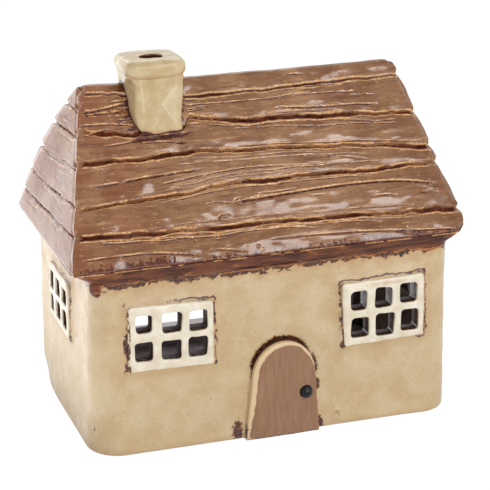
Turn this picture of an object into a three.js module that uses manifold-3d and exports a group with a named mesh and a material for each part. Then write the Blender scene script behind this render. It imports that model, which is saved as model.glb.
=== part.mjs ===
// House tea light holder: a hand-built pottery cottage, in millimetres.
// +Z is up, +X runs along the ridge, and -Y is the front, with the door.
// The origin is the centre of the underside, on the surface that the house stands on.
// Clay slabs are joined with slip: a slanted or upright joint keeps slipGap, and a level joint is closed.

import * as THREE from "three";
import { ConvexGeometry } from "three/addons/geometries/ConvexGeometry.js";
import { mergeVertices } from "three/addons/utils/BufferGeometryUtils.js";
import Module from "manifold-3d";

const wasm = await Module();
wasm.setup();

// Walls and floor
const houseWidth = 136; // outside the walls at their top, along X
const houseDepth = 84.5; // outside the walls at their top, along Y
const wallHeight = 66;
const wallThickness = 5;
const footSpreadX = 1.5; // how far each side wall leans out at its foot
const footSpreadY = 1.75; // the same for the front and back walls
const topCornerRadius = 7;
const footCornerRadius = 12.5;
const floorThickness = 5;
const slipGap = 0.3;

// Roof
const plateThickness = 4; // the ring between the walls and the roof slabs
const sideOverhang = 7;
const frontOverhang = 1;
const eaveCornerRadius = 4.5;
const roofRise = 56; // from the top of the plate to the ridge
const ridgeSetback = 14.5; // how far each end of the ridge stands in from the eave
const ridgeThickness = 4.5; // flat top of the ridge, across Y
const roofThickness = 5;
const boardLip = 2.6; // a board's thickness at its lower edge
const boardTop = 1.2; // and at its upper edge, under the next lip
const boardCourses = 5; // courses of equal height between the eave and the strip over the ridge
const ridgeStripDrop = 4.7; // from the ridge down to the lower edge of that strip

// Windows: a raised panel with rounded panes, seated in a shallow pocket of its wall
const panelThickness = 3.2;
const panelProud = 2.2;
const panelCornerRadius = 1;
const paneRadius = 1.6;
const paneColumns = 3;
const paneRows = 2;
const windowBelowEave = 9.25; // from the top of the walls down to each panel
const frontWindow = { width: 32, height: 24.5, paneWidth: 7, paneHeight: 7.4, pitchX: 10.15, pitchZ: 10.3 };
const sideWindow = { width: 29, height: 22, paneWidth: 6.4, paneHeight: 6.8, pitchX: 9.2, pitchZ: 9.3 };
const windowFromCorner = 11.5; // from the end of the front wall to the panel
const sideWindowY = -1.5;

// Door and knob
const doorX = 1.5;
const doorFootWidth = 29;
const doorSpringWidth = 24.6;
const doorSpringHeight = 23; // where the sides turn into the arch
const doorArchRise = 14.1;
const doorThickness = 3.4;
const doorProud = 2.4;
const knobFromDoorMiddle = 8.7;
const knobHeight = 16.5;
const knobRadius = 2.6;
const knobStand = 2.3; // how far the knob stands off the door
const knobSeatDepth = 0.8;

// Mouth in the back wall: a low arch over a level sill, for a hand that holds a tea light
const mouthSill = 13; // clay left below it
const mouthLintel = 14; // above it
const mouthJamb = 28; // and at each side
const mouthSpring = 13; // how far above the sill its sides turn into the arch
const mouthCornerRadius = 8;

// Chimney
const stackFromRidgeEnd = 17.8; // from the left end of the ridge to the stack
const stackWidth = 17;
const stackBeforeCourse = 0.8; // how far its front stands before the top course, which it parts
const stackBehindStrip = 0.3; // how far its back stands clear of the strip over the ridge
const stackRise = 4.3; // stack above the ridge
const stackCornerRadius = 1;
const capOverhang = { left: 3.8, right: 1, front: 1.9, back: 0.2 };
const capHeight = 7.2;
const capRounding = 2.2;
const flueFromMiddle = -1.1; // from the middle of the stack, along X
const flueFromFront = 7.3; // from the front of the stack
const flueWidth = 8.6;
const flueDepth = 6.4;

// How finely round shapes are cut into flats
const cornerSteps = 4;
const paneCurve = 1;
const doorCurve = 8;
const mouthCurve = 8;
const flueCurve = 10;
const knobSides = 16;

// Levels and half sizes that follow from them
const plateTop = wallHeight + plateThickness;
const ridgeTop = plateTop + roofRise;
const stackTop = ridgeTop + stackRise;
const topHalfX = houseWidth / 2;
const topHalfY = houseDepth / 2;
const eaveHalfX = topHalfX + sideOverhang;
const eaveHalfY = topHalfY + frontOverhang;
const innerHalfX = topHalfX - wallThickness;
const innerHalfY = topHalfY - wallThickness;
const ridgeHalfX = eaveHalfX - ridgeSetback;
const beyond = 3; // how far a cutting tool runs past what it cuts
const farAway = 2 * houseWidth; // outside the house on every side
const tiny = 1e-6; // what counts as no distance at all

// Glazes
const glaze = (color, roughness) => new THREE.MeshStandardMaterial({ color, roughness, metalness: 0 });
const wallGlaze = glaze(0xcdb68c, 0.35);
const windowGlaze = glaze(0xe8e0cc, 0.3);
const roofGlaze = glaze(0x966c4e, 0.2);
const eaveGlaze = glaze(0x54342c, 0.2);
const chimneyGlaze = glaze(0xcdb890, 0.3);
const doorGlaze = glaze(0x9b765f, 0.35);
const knobGlaze = glaze(0x33363a, 0.1);
const bareClay = glaze(0xc8b496, 0.8);

// Solids and outlines

// A closed geometry as a solid that can be cut and joined
function solid(geometry) {
  const bare = geometry.clone();
  bare.deleteAttribute("normal");
  bare.deleteAttribute("uv");
  const merged = mergeVertices(bare);
  return new wasm.Manifold(
    new wasm.Mesh({
      numProp: 3,
      vertProperties: new Float32Array(merged.attributes.position.array),
      triVerts: new Uint32Array(merged.index.array),
    })
  );
}

// A solid as a geometry again
function geometryOf(body) {
  const mesh = body.getMesh();
  const geometry = new THREE.BufferGeometry();
  geometry.setAttribute("position", new THREE.BufferAttribute(mesh.vertProperties, 3));
  geometry.setIndex(new THREE.BufferAttribute(mesh.triVerts, 1));
  geometry.computeVertexNormals();
  return geometry;
}

// A box from its lowest to its highest corner
function boxBetween(low, high) {
  const size = high.map((value, axis) => value - low[axis]);
  const middle = high.map((value, axis) => (value + low[axis]) / 2);
  return new THREE.BoxGeometry(...size).translate(...middle);
}

// Points of a rounded rectangle, anticlockwise seen from above
function roundedRectangle(halfX, halfY, radius) {
  const points = [];
  const quarters = [
    [1, 1],
    [-1, 1],
    [-1, -1],
    [1, -1],
  ];
  quarters.forEach(([signX, signY], quarter) => {
    for (let step = 0; step <= cornerSteps; step++) {
      const angle = (quarter + step / cornerSteps) * (Math.PI / 2);
      const x = signX * (halfX - radius) + radius * Math.cos(angle);
      const y = signY * (halfY - radius) + radius * Math.sin(angle);
      points.push([x, y]);
    }
  });
  return points;
}

// A closed body lofted through level rings, each { z, points }, from the lowest to the highest
function loft(rings) {
  const count = rings[0].points.length;
  const positions = rings.flatMap(({ z, points }) => points.flatMap(([x, y]) => [x, y, z]));
  const index = [];
  for (let ring = 0; ring + 1 < rings.length; ring++) {
    for (let i = 0; i < count; i++) {
      const a = ring * count + i;
      const b = ring * count + ((i + 1) % count);
      index.push(a, b, b + count, a, b + count, a + count);
    }
  }
  const top = (rings.length - 1) * count;
  for (let i = 1; i + 1 < count; i++) {
    index.push(0, i + 1, i);
    index.push(top, top + i, top + i + 1);
  }
  const geometry = new THREE.BufferGeometry();
  geometry.setAttribute("position", new THREE.Float32BufferAttribute(positions, 3));
  geometry.setIndex(index);
  geometry.computeVertexNormals();
  return geometry;
}

// An outline drawn in X and Z, extruded towards -Y from y = 0
function towardsFront(shape, depth, curveSegments) {
  return new THREE.ExtrudeGeometry(shape, { depth, bevelEnabled: false, curveSegments }).rotateX(Math.PI / 2);
}

// A whole oval about the origin
function oval(width, height) {
  return new THREE.Shape().absellipse(0, 0, width / 2, height / 2, 0, Math.PI * 2);
}

// Bodies bounded by planes

// A half space: everything where x, y, z times the point comes to reach or less
function halfSpace(x, y, z, reach) {
  const length = Math.hypot(x, y, z);
  return { normal: new THREE.Vector3(x, y, z).divideScalar(length), reach: reach / length };
}

// The same half space with its plane moved outwards
const moved = (space, distance) => ({ normal: space.normal, reach: space.reach + distance });

// The half space on the other side of the same plane
const flipped = (space) => ({ normal: space.normal.clone().negate(), reach: -space.reach });

// The point where three planes meet, or null where they don't
function meeting(a, b, c) {
  const bc = new THREE.Vector3().crossVectors(b.normal, c.normal);
  const ca = new THREE.Vector3().crossVectors(c.normal, a.normal);
  const ab = new THREE.Vector3().crossVectors(a.normal, b.normal);
  const scale = a.normal.dot(bc);
  if (Math.abs(scale) < tiny) return null;
  const point = bc.multiplyScalar(a.reach).addScaledVector(ca, b.reach).addScaledVector(ab, c.reach);
  return point.divideScalar(scale);
}

// The convex body that lies in all of the half spaces
function convexBody(spaces) {
  const corners = [];
  for (let i = 0; i < spaces.length; i++) {
    for (let j = i + 1; j < spaces.length; j++) {
      for (let k = j + 1; k < spaces.length; k++) {
        const point = meeting(spaces[i], spaces[j], spaces[k]);
        const inside = point && spaces.every(({ normal, reach }) => normal.dot(point) <= reach + tiny);
        if (inside) corners.push(point);
      }
    }
  }
  return solid(new ConvexGeometry(corners));
}

// Walls and floor

// Outline of the house at a level, drawn in from its outside face
function houseRing(z, inset) {
  const lean = 1 - z / wallHeight;
  const halfX = topHalfX + footSpreadX * lean - inset;
  const halfY = topHalfY + footSpreadY * lean - inset;
  const radius = topCornerRadius + (footCornerRadius - topCornerRadius) * lean - inset;
  return { z, points: roundedRectangle(halfX, halfY, radius) };
}

// The four walls as one body, before they are parted at the corners
function wallShell() {
  const outside = loft([houseRing(0, 0), houseRing(wallHeight, 0)]);
  const inside = loft([houseRing(-beyond, wallThickness), houseRing(wallHeight + beyond, wallThickness)]);
  return solid(outside).subtract(solid(inside));
}

// The corner joints run at 45 degrees, a slip gap wide, and part the shell into four walls
const jointLine = topHalfX - topHalfY;
const halfJoint = (slipGap / 2) * Math.SQRT2;
const wallLevels = [halfSpace(0, 0, 1, wallHeight + beyond), halfSpace(0, 0, -1, beyond)];

// Everything that belongs to the front wall (side -1) or the back wall (side 1)
function longWallSpace(side) {
  const joints = [1, -1].map((x) => halfSpace(x, -side, 0, jointLine - halfJoint));
  const half = [halfSpace(0, side, 0, farAway), halfSpace(0, -side, 0, 0)];
  return convexBody([...joints, ...half, ...wallLevels]);
}

// Everything that belongs to the left wall (side -1) or the right wall (side 1)
function endWallSpace(side) {
  const joints = [1, -1].map((y) => halfSpace(-side, y, 0, -jointLine - halfJoint));
  const half = [halfSpace(side, 0, 0, farAway), halfSpace(-side, 0, 0, 0)];
  return convexBody([...joints, ...half, ...wallLevels]);
}

// The outside face of a wall at a level, from the middle of the house
const longWallFace = (z) => topHalfY + footSpreadY * (1 - z / wallHeight);
const endWallFace = (z) => topHalfX + footSpreadX * (1 - z / wallHeight);

// The floor fits inside the foot of the walls
function baseSlab() {
  const inset = wallThickness + slipGap;
  return loft([houseRing(0, inset), houseRing(floorThickness, inset)]);
}

// The mouth, as a tool that cuts the back wall
function mouthTool() {
  const halfWidth = topHalfX - mouthJamb;
  const rise = wallHeight - mouthLintel - mouthSill - mouthSpring;
  const shape = new THREE.Shape();
  shape.absellipse(0, mouthSpring, halfWidth, rise, 0, Math.PI);
  const corner = halfWidth - mouthCornerRadius;
  shape.absarc(-corner, mouthCornerRadius, mouthCornerRadius, Math.PI, Math.PI * 1.5);
  shape.absarc(corner, mouthCornerRadius, mouthCornerRadius, Math.PI * 1.5, Math.PI * 2);
  return solid(towardsFront(shape, farAway, mouthCurve)).translate([0, farAway, mouthSill]);
}

// Windows

// A rectangle with round corners about a centre, as a shape or as a hole
function roundedShape(Kind, width, height, radius, x = 0, z = 0) {
  const shape = new Kind();
  const right = x + width / 2 - radius;
  const left = x - width / 2 + radius;
  const upper = z + height / 2 - radius;
  const lower = z - height / 2 + radius;
  shape.absarc(right, upper, radius, 0, Math.PI / 2);
  shape.absarc(left, upper, radius, Math.PI / 2, Math.PI);
  shape.absarc(left, lower, radius, Math.PI, Math.PI * 1.5);
  shape.absarc(right, lower, radius, Math.PI * 1.5, Math.PI * 2);
  return shape;
}

// The panes of a window, row by row
function paneShapes(Kind, size) {
  const panes = [];
  for (let row = 0; row < paneRows; row++) {
    for (let column = 0; column < paneColumns; column++) {
      const x = (column - (paneColumns - 1) / 2) * size.pitchX;
      const z = (row - (paneRows - 1) / 2) * size.pitchZ;
      panes.push(roundedShape(Kind, size.paneWidth, size.paneHeight, paneRadius, x, z));
    }
  }
  return panes;
}

// The raised panel, with its back at y = 0 and its middle at z = 0
function windowPanel(size) {
  const shape = roundedShape(THREE.Shape, size.width, size.height, panelCornerRadius);
  shape.holes.push(...paneShapes(THREE.Path, size));
  return towardsFront(shape, panelThickness, paneCurve);
}

// What the panel takes out of its wall: a pocket for its back, and the panes right through
function windowCut(size) {
  const clear = 2 * slipGap;
  const radius = panelCornerRadius + slipGap;
  const pocket = roundedShape(THREE.Shape, size.width + clear, size.height + clear, radius);
  const through = wallThickness + beyond;
  const tools = [towardsFront(pocket, panelThickness + beyond, paneCurve).translate(0, slipGap, 0)];
  for (const pane of paneShapes(THREE.Shape, size)) {
    tools.push(towardsFront(pane, through + panelThickness, paneCurve).translate(0, through, 0));
  }
  return tools.map(solid).reduce((whole, tool) => whole.add(tool));
}

// Where a window stands: the middle of its back, and how far it turns from the front
function windowPlace(size, side) {
  const z = wallHeight - windowBelowEave - size.height / 2;
  const sunk = panelThickness - panelProud;
  const x = topHalfX - windowFromCorner - size.width / 2;
  const places = {
    frontLeft: { turn: 0, at: [-x, sunk - longWallFace(z), z] },
    frontRight: { turn: 0, at: [x, sunk - longWallFace(z), z] },
    left: { turn: -90, at: [sunk - endWallFace(z), sideWindowY, z] },
    right: { turn: 90, at: [endWallFace(z) - sunk, sideWindowY, z] },
  };
  return places[side];
}

const windows = {
  front_left_window: { size: frontWindow, wall: "front_wall", ...windowPlace(frontWindow, "frontLeft") },
  front_right_window: { size: frontWindow, wall: "front_wall", ...windowPlace(frontWindow, "frontRight") },
  left_side_window: { size: sideWindow, wall: "left_wall", ...windowPlace(sideWindow, "left") },
  right_side_window: { size: sideWindow, wall: "right_wall", ...windowPlace(sideWindow, "right") },
};

// Door and knob

const doorFace = longWallFace(doorSpringHeight) + doorProud;
const doorBack = doorFace - doorThickness;

// The door's outline: sides that lean in a little, and a round arch
function doorShape(clear, below) {
  const footHalf = doorFootWidth / 2 + clear;
  const springHalf = doorSpringWidth / 2 + clear;
  const shape = new THREE.Shape();
  shape.moveTo(-footHalf, -below);
  shape.lineTo(footHalf, -below);
  shape.lineTo(springHalf, doorSpringHeight);
  shape.absellipse(0, doorSpringHeight, springHalf, doorArchRise + clear, 0, Math.PI);
  shape.closePath();
  return shape;
}

// The door slab, with a dimple for the knob
function doorPanel() {
  const slab = solid(towardsFront(doorShape(0, 0), doorThickness, doorCurve));
  const radius = knobRadius + slipGap;
  const dimple = solid(new THREE.CylinderGeometry(radius, radius, 2 * knobSeatDepth, knobSides));
  return slab.subtract(dimple.translate([knobFromDoorMiddle, -doorThickness, knobHeight]));
}

// The pocket that the door takes out of the front wall
function doorPocket() {
  const tool = solid(towardsFront(doorShape(slipGap, beyond), doorThickness + beyond, doorCurve));
  return tool.translate([doorX, slipGap - doorBack, 0]);
}

// A ball flattened against the door, with a short round foot in the dimple
function knob() {
  const foot = knobSeatDepth - slipGap;
  const steps = 5;
  const points = [new THREE.Vector2(0, 0), new THREE.Vector2(knobRadius, 0)];
  for (let step = 0; step < steps; step++) {
    const angle = (step / steps) * (Math.PI / 2);
    points.push(new THREE.Vector2(knobRadius * Math.cos(angle), foot + knobStand * Math.sin(angle)));
  }
  points.push(new THREE.Vector2(0, foot + knobStand));
  return new THREE.LatheGeometry(points, knobSides).rotateX(Math.PI);
}

// Each wall with what is cut out of it
function walls() {
  const shell = wallShell();
  const made = {
    front_wall: shell.intersect(longWallSpace(-1)).subtract(doorPocket()),
    back_wall: shell.intersect(longWallSpace(1)).subtract(mouthTool()),
    left_wall: shell.intersect(endWallSpace(-1)),
    right_wall: shell.intersect(endWallSpace(1)),
  };
  for (const { size, wall, turn, at } of Object.values(windows)) {
    const tool = windowCut(size).rotate([0, 0, turn]).translate(at);
    made[wall] = made[wall].subtract(tool);
  }
  return made;
}

// Roof

// The ring on the wall tops, whose edge leans out to the eaves
function eavePlate() {
  const eaveRing = { z: plateTop, points: roundedRectangle(eaveHalfX, eaveHalfY, eaveCornerRadius) };
  const hole = roundedRectangle(innerHalfX, innerHalfY, topCornerRadius - wallThickness);
  const tool = loft([
    { z: wallHeight - beyond, points: hole },
    { z: plateTop + beyond, points: hole },
  ]);
  return solid(loft([houseRing(wallHeight, 0), eaveRing])).subtract(solid(tool));
}

// One slope: it faces x, y and leans in from the eave to the ridge
function slope(x, y, eaveReach, ridgeReach) {
  const leanIn = eaveReach - ridgeReach;
  const pointAt = (z) => {
    const reach = eaveReach - (leanIn * (z - plateTop)) / roofRise;
    return new THREE.Vector3(x * reach, y * reach, z);
  };
  const face = halfSpace(x * roofRise, y * roofRise, leanIn, 0);
  face.reach = face.normal.dot(pointAt(plateTop));
  const up = new THREE.Vector3(-x * leanIn, -y * leanIn, roofRise).normalize();
  return { face, up, pointAt };
}

const slopes = {
  front: slope(0, -1, eaveHalfY, ridgeThickness / 2),
  back: slope(0, 1, eaveHalfY, ridgeThickness / 2),
  left: slope(-1, 0, eaveHalfX, ridgeHalfX),
  right: slope(1, 0, eaveHalfX, ridgeHalfX),
};
const sides = Object.keys(slopes);
const ends = ["left", "right"];
const neighboursOf = (side) => (ends.includes(side) ? ["front", "back"] : ends);
const abovePlate = halfSpace(0, 0, -1, -plateTop);
const belowRidge = halfSpace(0, 0, 1, ridgeTop);

// The mitre between two slopes, on the side that belongs to the first, half a slip gap clear
function mitre(mine, other) {
  const a = slopes[mine].face;
  const b = slopes[other].face;
  const across = b.normal.clone().sub(a.normal);
  return moved(halfSpace(across.x, across.y, across.z, b.reach - a.reach), -slipGap / 2);
}

const mitresOf = (side) => neighboursOf(side).map((other) => mitre(side, other));

// All four slopes together, drawn in from the face of the boards
function hipBody(inset) {
  const faces = sides.map((side) => moved(slopes[side].face, -inset));
  return convexBody([...faces, abovePlate, belowRidge]);
}

// A roof slab lies under the boards, and the front and back slabs meet below the ridge
function roofSlab(side) {
  const outside = moved(slopes[side].face, -boardLip - slipGap);
  const spaces = [outside, flipped(moved(outside, -roofThickness)), abovePlate, ...mitresOf(side)];
  if (side === "front") spaces.push(halfSpace(0, 1, 0, -slipGap / 2));
  if (side === "back") spaces.push(halfSpace(0, -1, 0, -slipGap / 2));
  return convexBody(spaces);
}

// The cuts square across a slope at a level, half a slip gap clear of it
function aboveCut(side, z) {
  const { up, pointAt } = slopes[side];
  return { normal: up.clone().negate(), reach: -up.dot(pointAt(z)) - slipGap / 2 };
}

function belowCut(side, z) {
  const { up, pointAt } = slopes[side];
  return { normal: up, reach: up.dot(pointAt(z)) - slipGap / 2 };
}

// A board's face: on the slope at its lower edge, and sunk at its upper edge where a lip comes next
function boardFace(side, low, high) {
  const { face, pointAt } = slopes[side];
  const sunk = high === ridgeTop ? 0 : boardLip - boardTop;
  const lower = pointAt(low);
  const upper = pointAt(high).addScaledVector(face.normal, -sunk);
  const along = new THREE.Vector3(-face.normal.y, face.normal.x, 0);
  const normal = upper.sub(lower).cross(along).normalize();
  if (normal.dot(face.normal) < 0) normal.negate();
  return { normal, reach: normal.dot(lower) };
}

// One course of boards on a slope, between two levels, with any further limits
function board(side, low, high, limits = []) {
  const back = flipped(moved(slopes[side].face, -boardLip));
  const bottom = low === plateTop ? abovePlate : aboveCut(side, low);
  const top = high === ridgeTop ? belowRidge : belowCut(side, high);
  return convexBody([boardFace(side, low, high), back, bottom, top, ...mitresOf(side), ...limits]);
}

// Levels of the board joints, from the eave to the ridge
const stripFoot = ridgeTop - ridgeStripDrop;
const courseHeight = (stripFoot - plateTop) / boardCourses;
const courses = Array.from({ length: boardCourses + 1 }, (_, step) => plateTop + step * courseHeight);
courses.push(ridgeTop);

// Chimney

// The stack stands astride the ridge, and parts the top course and the strip over the ridge
const topCourse = boardCourses - 1;
const stack = {
  left: stackFromRidgeEnd - ridgeHalfX,
  right: stackFromRidgeEnd - ridgeHalfX + stackWidth,
  front: slopes.front.pointAt(courses[topCourse]).y - stackBeforeCourse,
  back: slopes.back.pointAt(stripFoot).y + stackBehindStrip,
};
const stackHole = solid(
  boxBetween(
    [stack.left - slipGap, stack.front - slipGap, plateTop],
    [stack.right + slipGap, stack.back + slipGap, stackTop]
  )
);

// The oval flue, pierced with one tool through the cap, the stack and the roof
const flueTool = solid(
  new THREE.ExtrudeGeometry(oval(flueWidth, flueDepth), {
    depth: stackTop + capHeight + beyond - plateTop,
    bevelEnabled: false,
    curveSegments: flueCurve,
  })
).translate([(stack.left + stack.right) / 2 + flueFromMiddle, stack.front + flueFromFront, plateTop]);

// A loft on a rectangle of the plan, through levels that are each drawn in by an inset
function planLoft({ left, right, front, back }, radius, levels) {
  const halfX = (right - left) / 2;
  const halfY = (back - front) / 2;
  const rings = levels.map(({ z, inset }) => ({
    z,
    points: roundedRectangle(halfX - inset, halfY - inset, radius - inset),
  }));
  return solid(loft(rings)).translate([left + halfX, front + halfY, 0]);
}

// The stack, cut away below to sit on the roof slabs
function chimneyStack() {
  const levels = [plateTop, stackTop].map((z) => ({ z, inset: 0 }));
  return planLoft(stack, stackCornerRadius, levels).subtract(hipBody(boardLip)).subtract(flueTool);
}

// The cap is a cushion of clay with rounded edges
function chimneyCap() {
  const plan = {
    left: stack.left - capOverhang.left,
    right: stack.right + capOverhang.right,
    front: stack.front - capOverhang.front,
    back: stack.back + capOverhang.back,
  };
  const steps = 4;
  const levels = [];
  for (const [middle, turn] of [[capRounding, -90], [capHeight - capRounding, 0]]) {
    for (let step = 0; step <= steps; step++) {
      const angle = THREE.MathUtils.degToRad(turn + (90 * step) / steps);
      const z = stackTop + middle + capRounding * Math.sin(angle);
      levels.push({ z, inset: capRounding * (1 - Math.cos(angle)) });
    }
  }
  return planLoft(plan, 2 * capRounding, levels).subtract(flueTool);
}

// Boards

const leftOfStack = halfSpace(1, 0, 0, stack.left - slipGap);
const rightOfStack = halfSpace(-1, 0, 0, -stack.right - slipGap);

// The folded strip over the ridge, from the chimney to one end
function ridgeCap(end, besideStack) {
  const spaces = [slopes.front.face, slopes.back.face, belowRidge, besideStack];
  spaces.push(aboveCut("front", stripFoot), aboveCut("back", stripFoot), moved(slopes[end].face, beyond));
  const endBoard = convexBody([
    moved(flipped(mitre("front", end)), slipGap),
    moved(flipped(mitre("back", end)), slipGap),
    moved(slopes[end].face, 2 * beyond),
    abovePlate,
    moved(belowRidge, beyond),
  ]);
  return convexBody(spaces).subtract(hipBody(boardLip)).subtract(endBoard);
}

// Every board of the roof, by name, from the eave up
function boards() {
  const made = {};
  for (const side of sides) {
    const count = ends.includes(side) ? boardCourses + 1 : boardCourses;
    for (let course = 0; course < count; course++) {
      const low = courses[course];
      const high = courses[course + 1];
      const name = `${side}_board_${course + 1}`;
      if (side === "front" && course === topCourse) {
        made[`${name}_left`] = board(side, low, high, [leftOfStack]);
        made[`${name}_right`] = board(side, low, high, [rightOfStack]);
      } else {
        made[name] = board(side, low, high).subtract(stackHole);
      }
    }
  }
  return made;
}

// The assembly
const house = new THREE.Group();

function add(name, geometry, material, parent = house) {
  const mesh = new THREE.Mesh(geometry, material);
  mesh.name = name;
  parent.add(mesh);
  return mesh;
}

add("base_slab", baseSlab(), bareClay);
for (const [name, body] of Object.entries(walls())) add(name, geometryOf(body), wallGlaze);

for (const [name, { size, turn, at }] of Object.entries(windows)) {
  const panel = add(name, windowPanel(size), windowGlaze);
  panel.rotation.z = THREE.MathUtils.degToRad(turn);
  panel.position.set(...at);
}

const door = new THREE.Group();
door.position.set(doorX, -doorBack, 0);
house.add(door);
add("door_panel", geometryOf(doorPanel()), doorGlaze, door);
const doorKnob = add("door_knob", knob(), knobGlaze, door);
doorKnob.position.set(knobFromDoorMiddle, knobSeatDepth - slipGap - doorThickness, knobHeight);

add("eave_plate", geometryOf(eavePlate()), eaveGlaze);
for (const side of sides) {
  add(`roof_${side}_slab`, geometryOf(roofSlab(side).subtract(flueTool)), roofGlaze);
}
for (const [name, body] of Object.entries(boards())) add(name, geometryOf(body), roofGlaze);
add("ridge_cap_left", geometryOf(ridgeCap("left", leftOfStack)), roofGlaze);
add("ridge_cap_right", geometryOf(ridgeCap("right", rightOfStack)), roofGlaze);

add("chimney_stack", geometryOf(chimneyStack()), chimneyGlaze);
add("chimney_cap", geometryOf(chimneyCap()), chimneyGlaze);

export default house;
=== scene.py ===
import math

import bmesh
import bpy
import numpy as np
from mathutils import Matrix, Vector


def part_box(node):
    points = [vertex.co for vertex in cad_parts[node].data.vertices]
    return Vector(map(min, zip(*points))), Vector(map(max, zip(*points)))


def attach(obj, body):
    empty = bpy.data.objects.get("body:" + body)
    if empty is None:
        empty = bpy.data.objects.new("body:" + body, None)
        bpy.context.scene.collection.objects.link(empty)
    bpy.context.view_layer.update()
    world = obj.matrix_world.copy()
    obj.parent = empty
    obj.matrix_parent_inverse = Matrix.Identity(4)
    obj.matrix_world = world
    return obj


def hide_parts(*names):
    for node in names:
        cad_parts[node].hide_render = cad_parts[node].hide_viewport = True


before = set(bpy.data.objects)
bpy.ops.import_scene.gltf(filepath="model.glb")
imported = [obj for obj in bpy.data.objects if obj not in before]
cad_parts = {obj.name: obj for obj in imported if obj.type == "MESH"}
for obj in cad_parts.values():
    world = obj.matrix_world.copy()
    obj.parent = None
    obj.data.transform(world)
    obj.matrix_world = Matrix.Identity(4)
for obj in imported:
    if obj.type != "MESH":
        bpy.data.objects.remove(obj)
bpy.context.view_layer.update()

# Everything below is worked out in millimetres and written in metres
MM = 0.001


def box_mm(node):
    low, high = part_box(node)
    return np.array(low) / MM, np.array(high) / MM


FACINGS = {"front": (0, -1), "back": (0, 1), "left": (-1, 0), "right": (1, 0)}
eave_half_x, eave_half_y, eave_z = box_mm("eave_plate")[1]
ridge_z = box_mm("ridge_cap_left")[1][2]
wall_top = box_mm("front_wall")[1][2]
stack_low, stack_high = box_mm("chimney_stack")
RISE = ridge_z - eave_z
RIDGE_SETBACK = 14.5
RIDGE_HALF = 2.25
WALL_THICKNESS = 5.0
TOP_HALF_X, TOP_HALF_Y, TOP_CORNER = 68.0, 42.25, 7.0  # the outside of the walls at their top
FOOT_SPREAD_X, FOOT_SPREAD_Y, FOOT_CORNER = 1.5, 1.75, 12.5  # how far the foot stands out, and its corner

# The camera, fitted to the photo
CAMERA_AZIMUTH = -19.014
CAMERA_ELEVATION = 19.647
CAMERA_DISTANCE = 711.5
CAMERA_TARGET = (2.36, 0.0, 58.72)
CAMERA_LENS = 138.2


# Noise and lines

def noise(points, cell, seed):
    """Smooth value noise from -1 to 1, with one cell size or one for each axis."""
    at = np.asarray(points, float) / cell
    base = np.floor(at).astype(np.int64)
    part = at - base
    part = part**3 * (part * (part * 6 - 15) + 10)
    total = np.zeros(len(at))
    for corner in np.ndindex(2, 2, 2):
        i, j, k = (base + corner).T
        mixed = (i * 73856093 ^ j * 19349663 ^ k * 83492791 ^ seed * 26544357) & 0xFFFFFFFF
        mixed = ((mixed ^ (mixed >> 15)) * 1274126177) & 0xFFFFFFFF
        value = ((mixed ^ (mixed >> 13)) & 0xFFFF) / 32767.5 - 1
        total += value * np.prod(np.where(corner, part, 1 - part), axis=1)
    return total


def noise_1d(values, cell, seed):
    values = np.asarray(values, float)
    return noise(np.stack([values, 0 * values, 0 * values], 1), cell, seed)


def ramp(low, high, values):
    """Goes smoothly from 0 at low to 1 at high, which may be the lower number."""
    x = np.clip((np.asarray(values, float) - low) / (high - low), 0, 1)
    return x * x * (3 - 2 * x)


def bell(values, middle, width):
    """Falls smoothly from 1 at the middle to about a third, a width away."""
    return np.exp(-(((values - middle) / width) ** 2))


def blot(x, z, at, size):
    """Falls smoothly from 1 at a place in X and Z, by a width and a height."""
    return np.exp(-(((x - at[0]) / size[0]) ** 2) - ((z - at[1]) / size[1]) ** 2)


def rounded(points):
    """A line with its corners cut twice."""
    points = np.array(points, float)
    for _ in range(2):
        a, b = points[:-1], points[1:]
        middle = np.stack([0.75 * a + 0.25 * b, 0.25 * a + 0.75 * b], 1).reshape(-1, 2)
        points = np.vstack([points[:1], middle, points[-1:]])
    return points


def round_outline(corners, radius, steps=4):
    """A closed outline with its corners rounded."""
    corners = np.array(corners, float)
    points = []
    for i, corner in enumerate(corners):
        before, after = corners[i - 1] - corner, corners[(i + 1) % len(corners)] - corner
        reach = min(radius, np.linalg.norm(before) / 2.2, np.linalg.norm(after) / 2.2)
        a, b = (corner + side / np.linalg.norm(side) * reach for side in (before, after))
        for t in (step / steps for step in range(steps + 1)):
            points.append((1 - t) ** 2 * a + 2 * t * (1 - t) * corner + t * t * b)
    return points


# Meshes

def add_object(name, data):
    thing = bpy.data.objects.new(name, data)
    bpy.context.scene.collection.objects.link(thing)
    return thing


def vertex_values(mesh, field):
    flat = np.zeros(3 * len(mesh.vertices))
    mesh.vertices.foreach_get(field, flat)
    return flat.reshape(-1, 3)


def points_of(mesh):
    return vertex_values(mesh, "co") / MM


def set_points(mesh, points):
    mesh.vertices.foreach_set("co", (points * MM).ravel())
    mesh.update()


def set_layers(mesh, **layers):
    """Stores values for the points, which the glazes read."""
    for label, values in layers.items():
        layer = mesh.attributes.new(label, "FLOAT", "POINT")
        layer.data.foreach_set("value", np.asarray(values, np.float32))


def shade_smooth(mesh, sharp_from=None):
    mesh.polygons.foreach_set("use_smooth", np.ones(len(mesh.polygons), bool))
    if sharp_from:
        mesh.set_sharp_from_angle(angle=math.radians(sharp_from))


def tidy_mesh(mesh):
    """Joins doubled points, turns faces outwards and shades smooth except over sharp edges."""
    work = bmesh.new()
    work.from_mesh(mesh)
    bmesh.ops.remove_doubles(work, verts=work.verts, dist=2e-6)
    bmesh.ops.dissolve_degenerate(work, edges=work.edges, dist=1e-6)
    bmesh.ops.recalc_face_normals(work, faces=work.faces)
    work.to_mesh(mesh)
    work.free()
    shade_smooth(mesh, 40)
    mesh.update()


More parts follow.
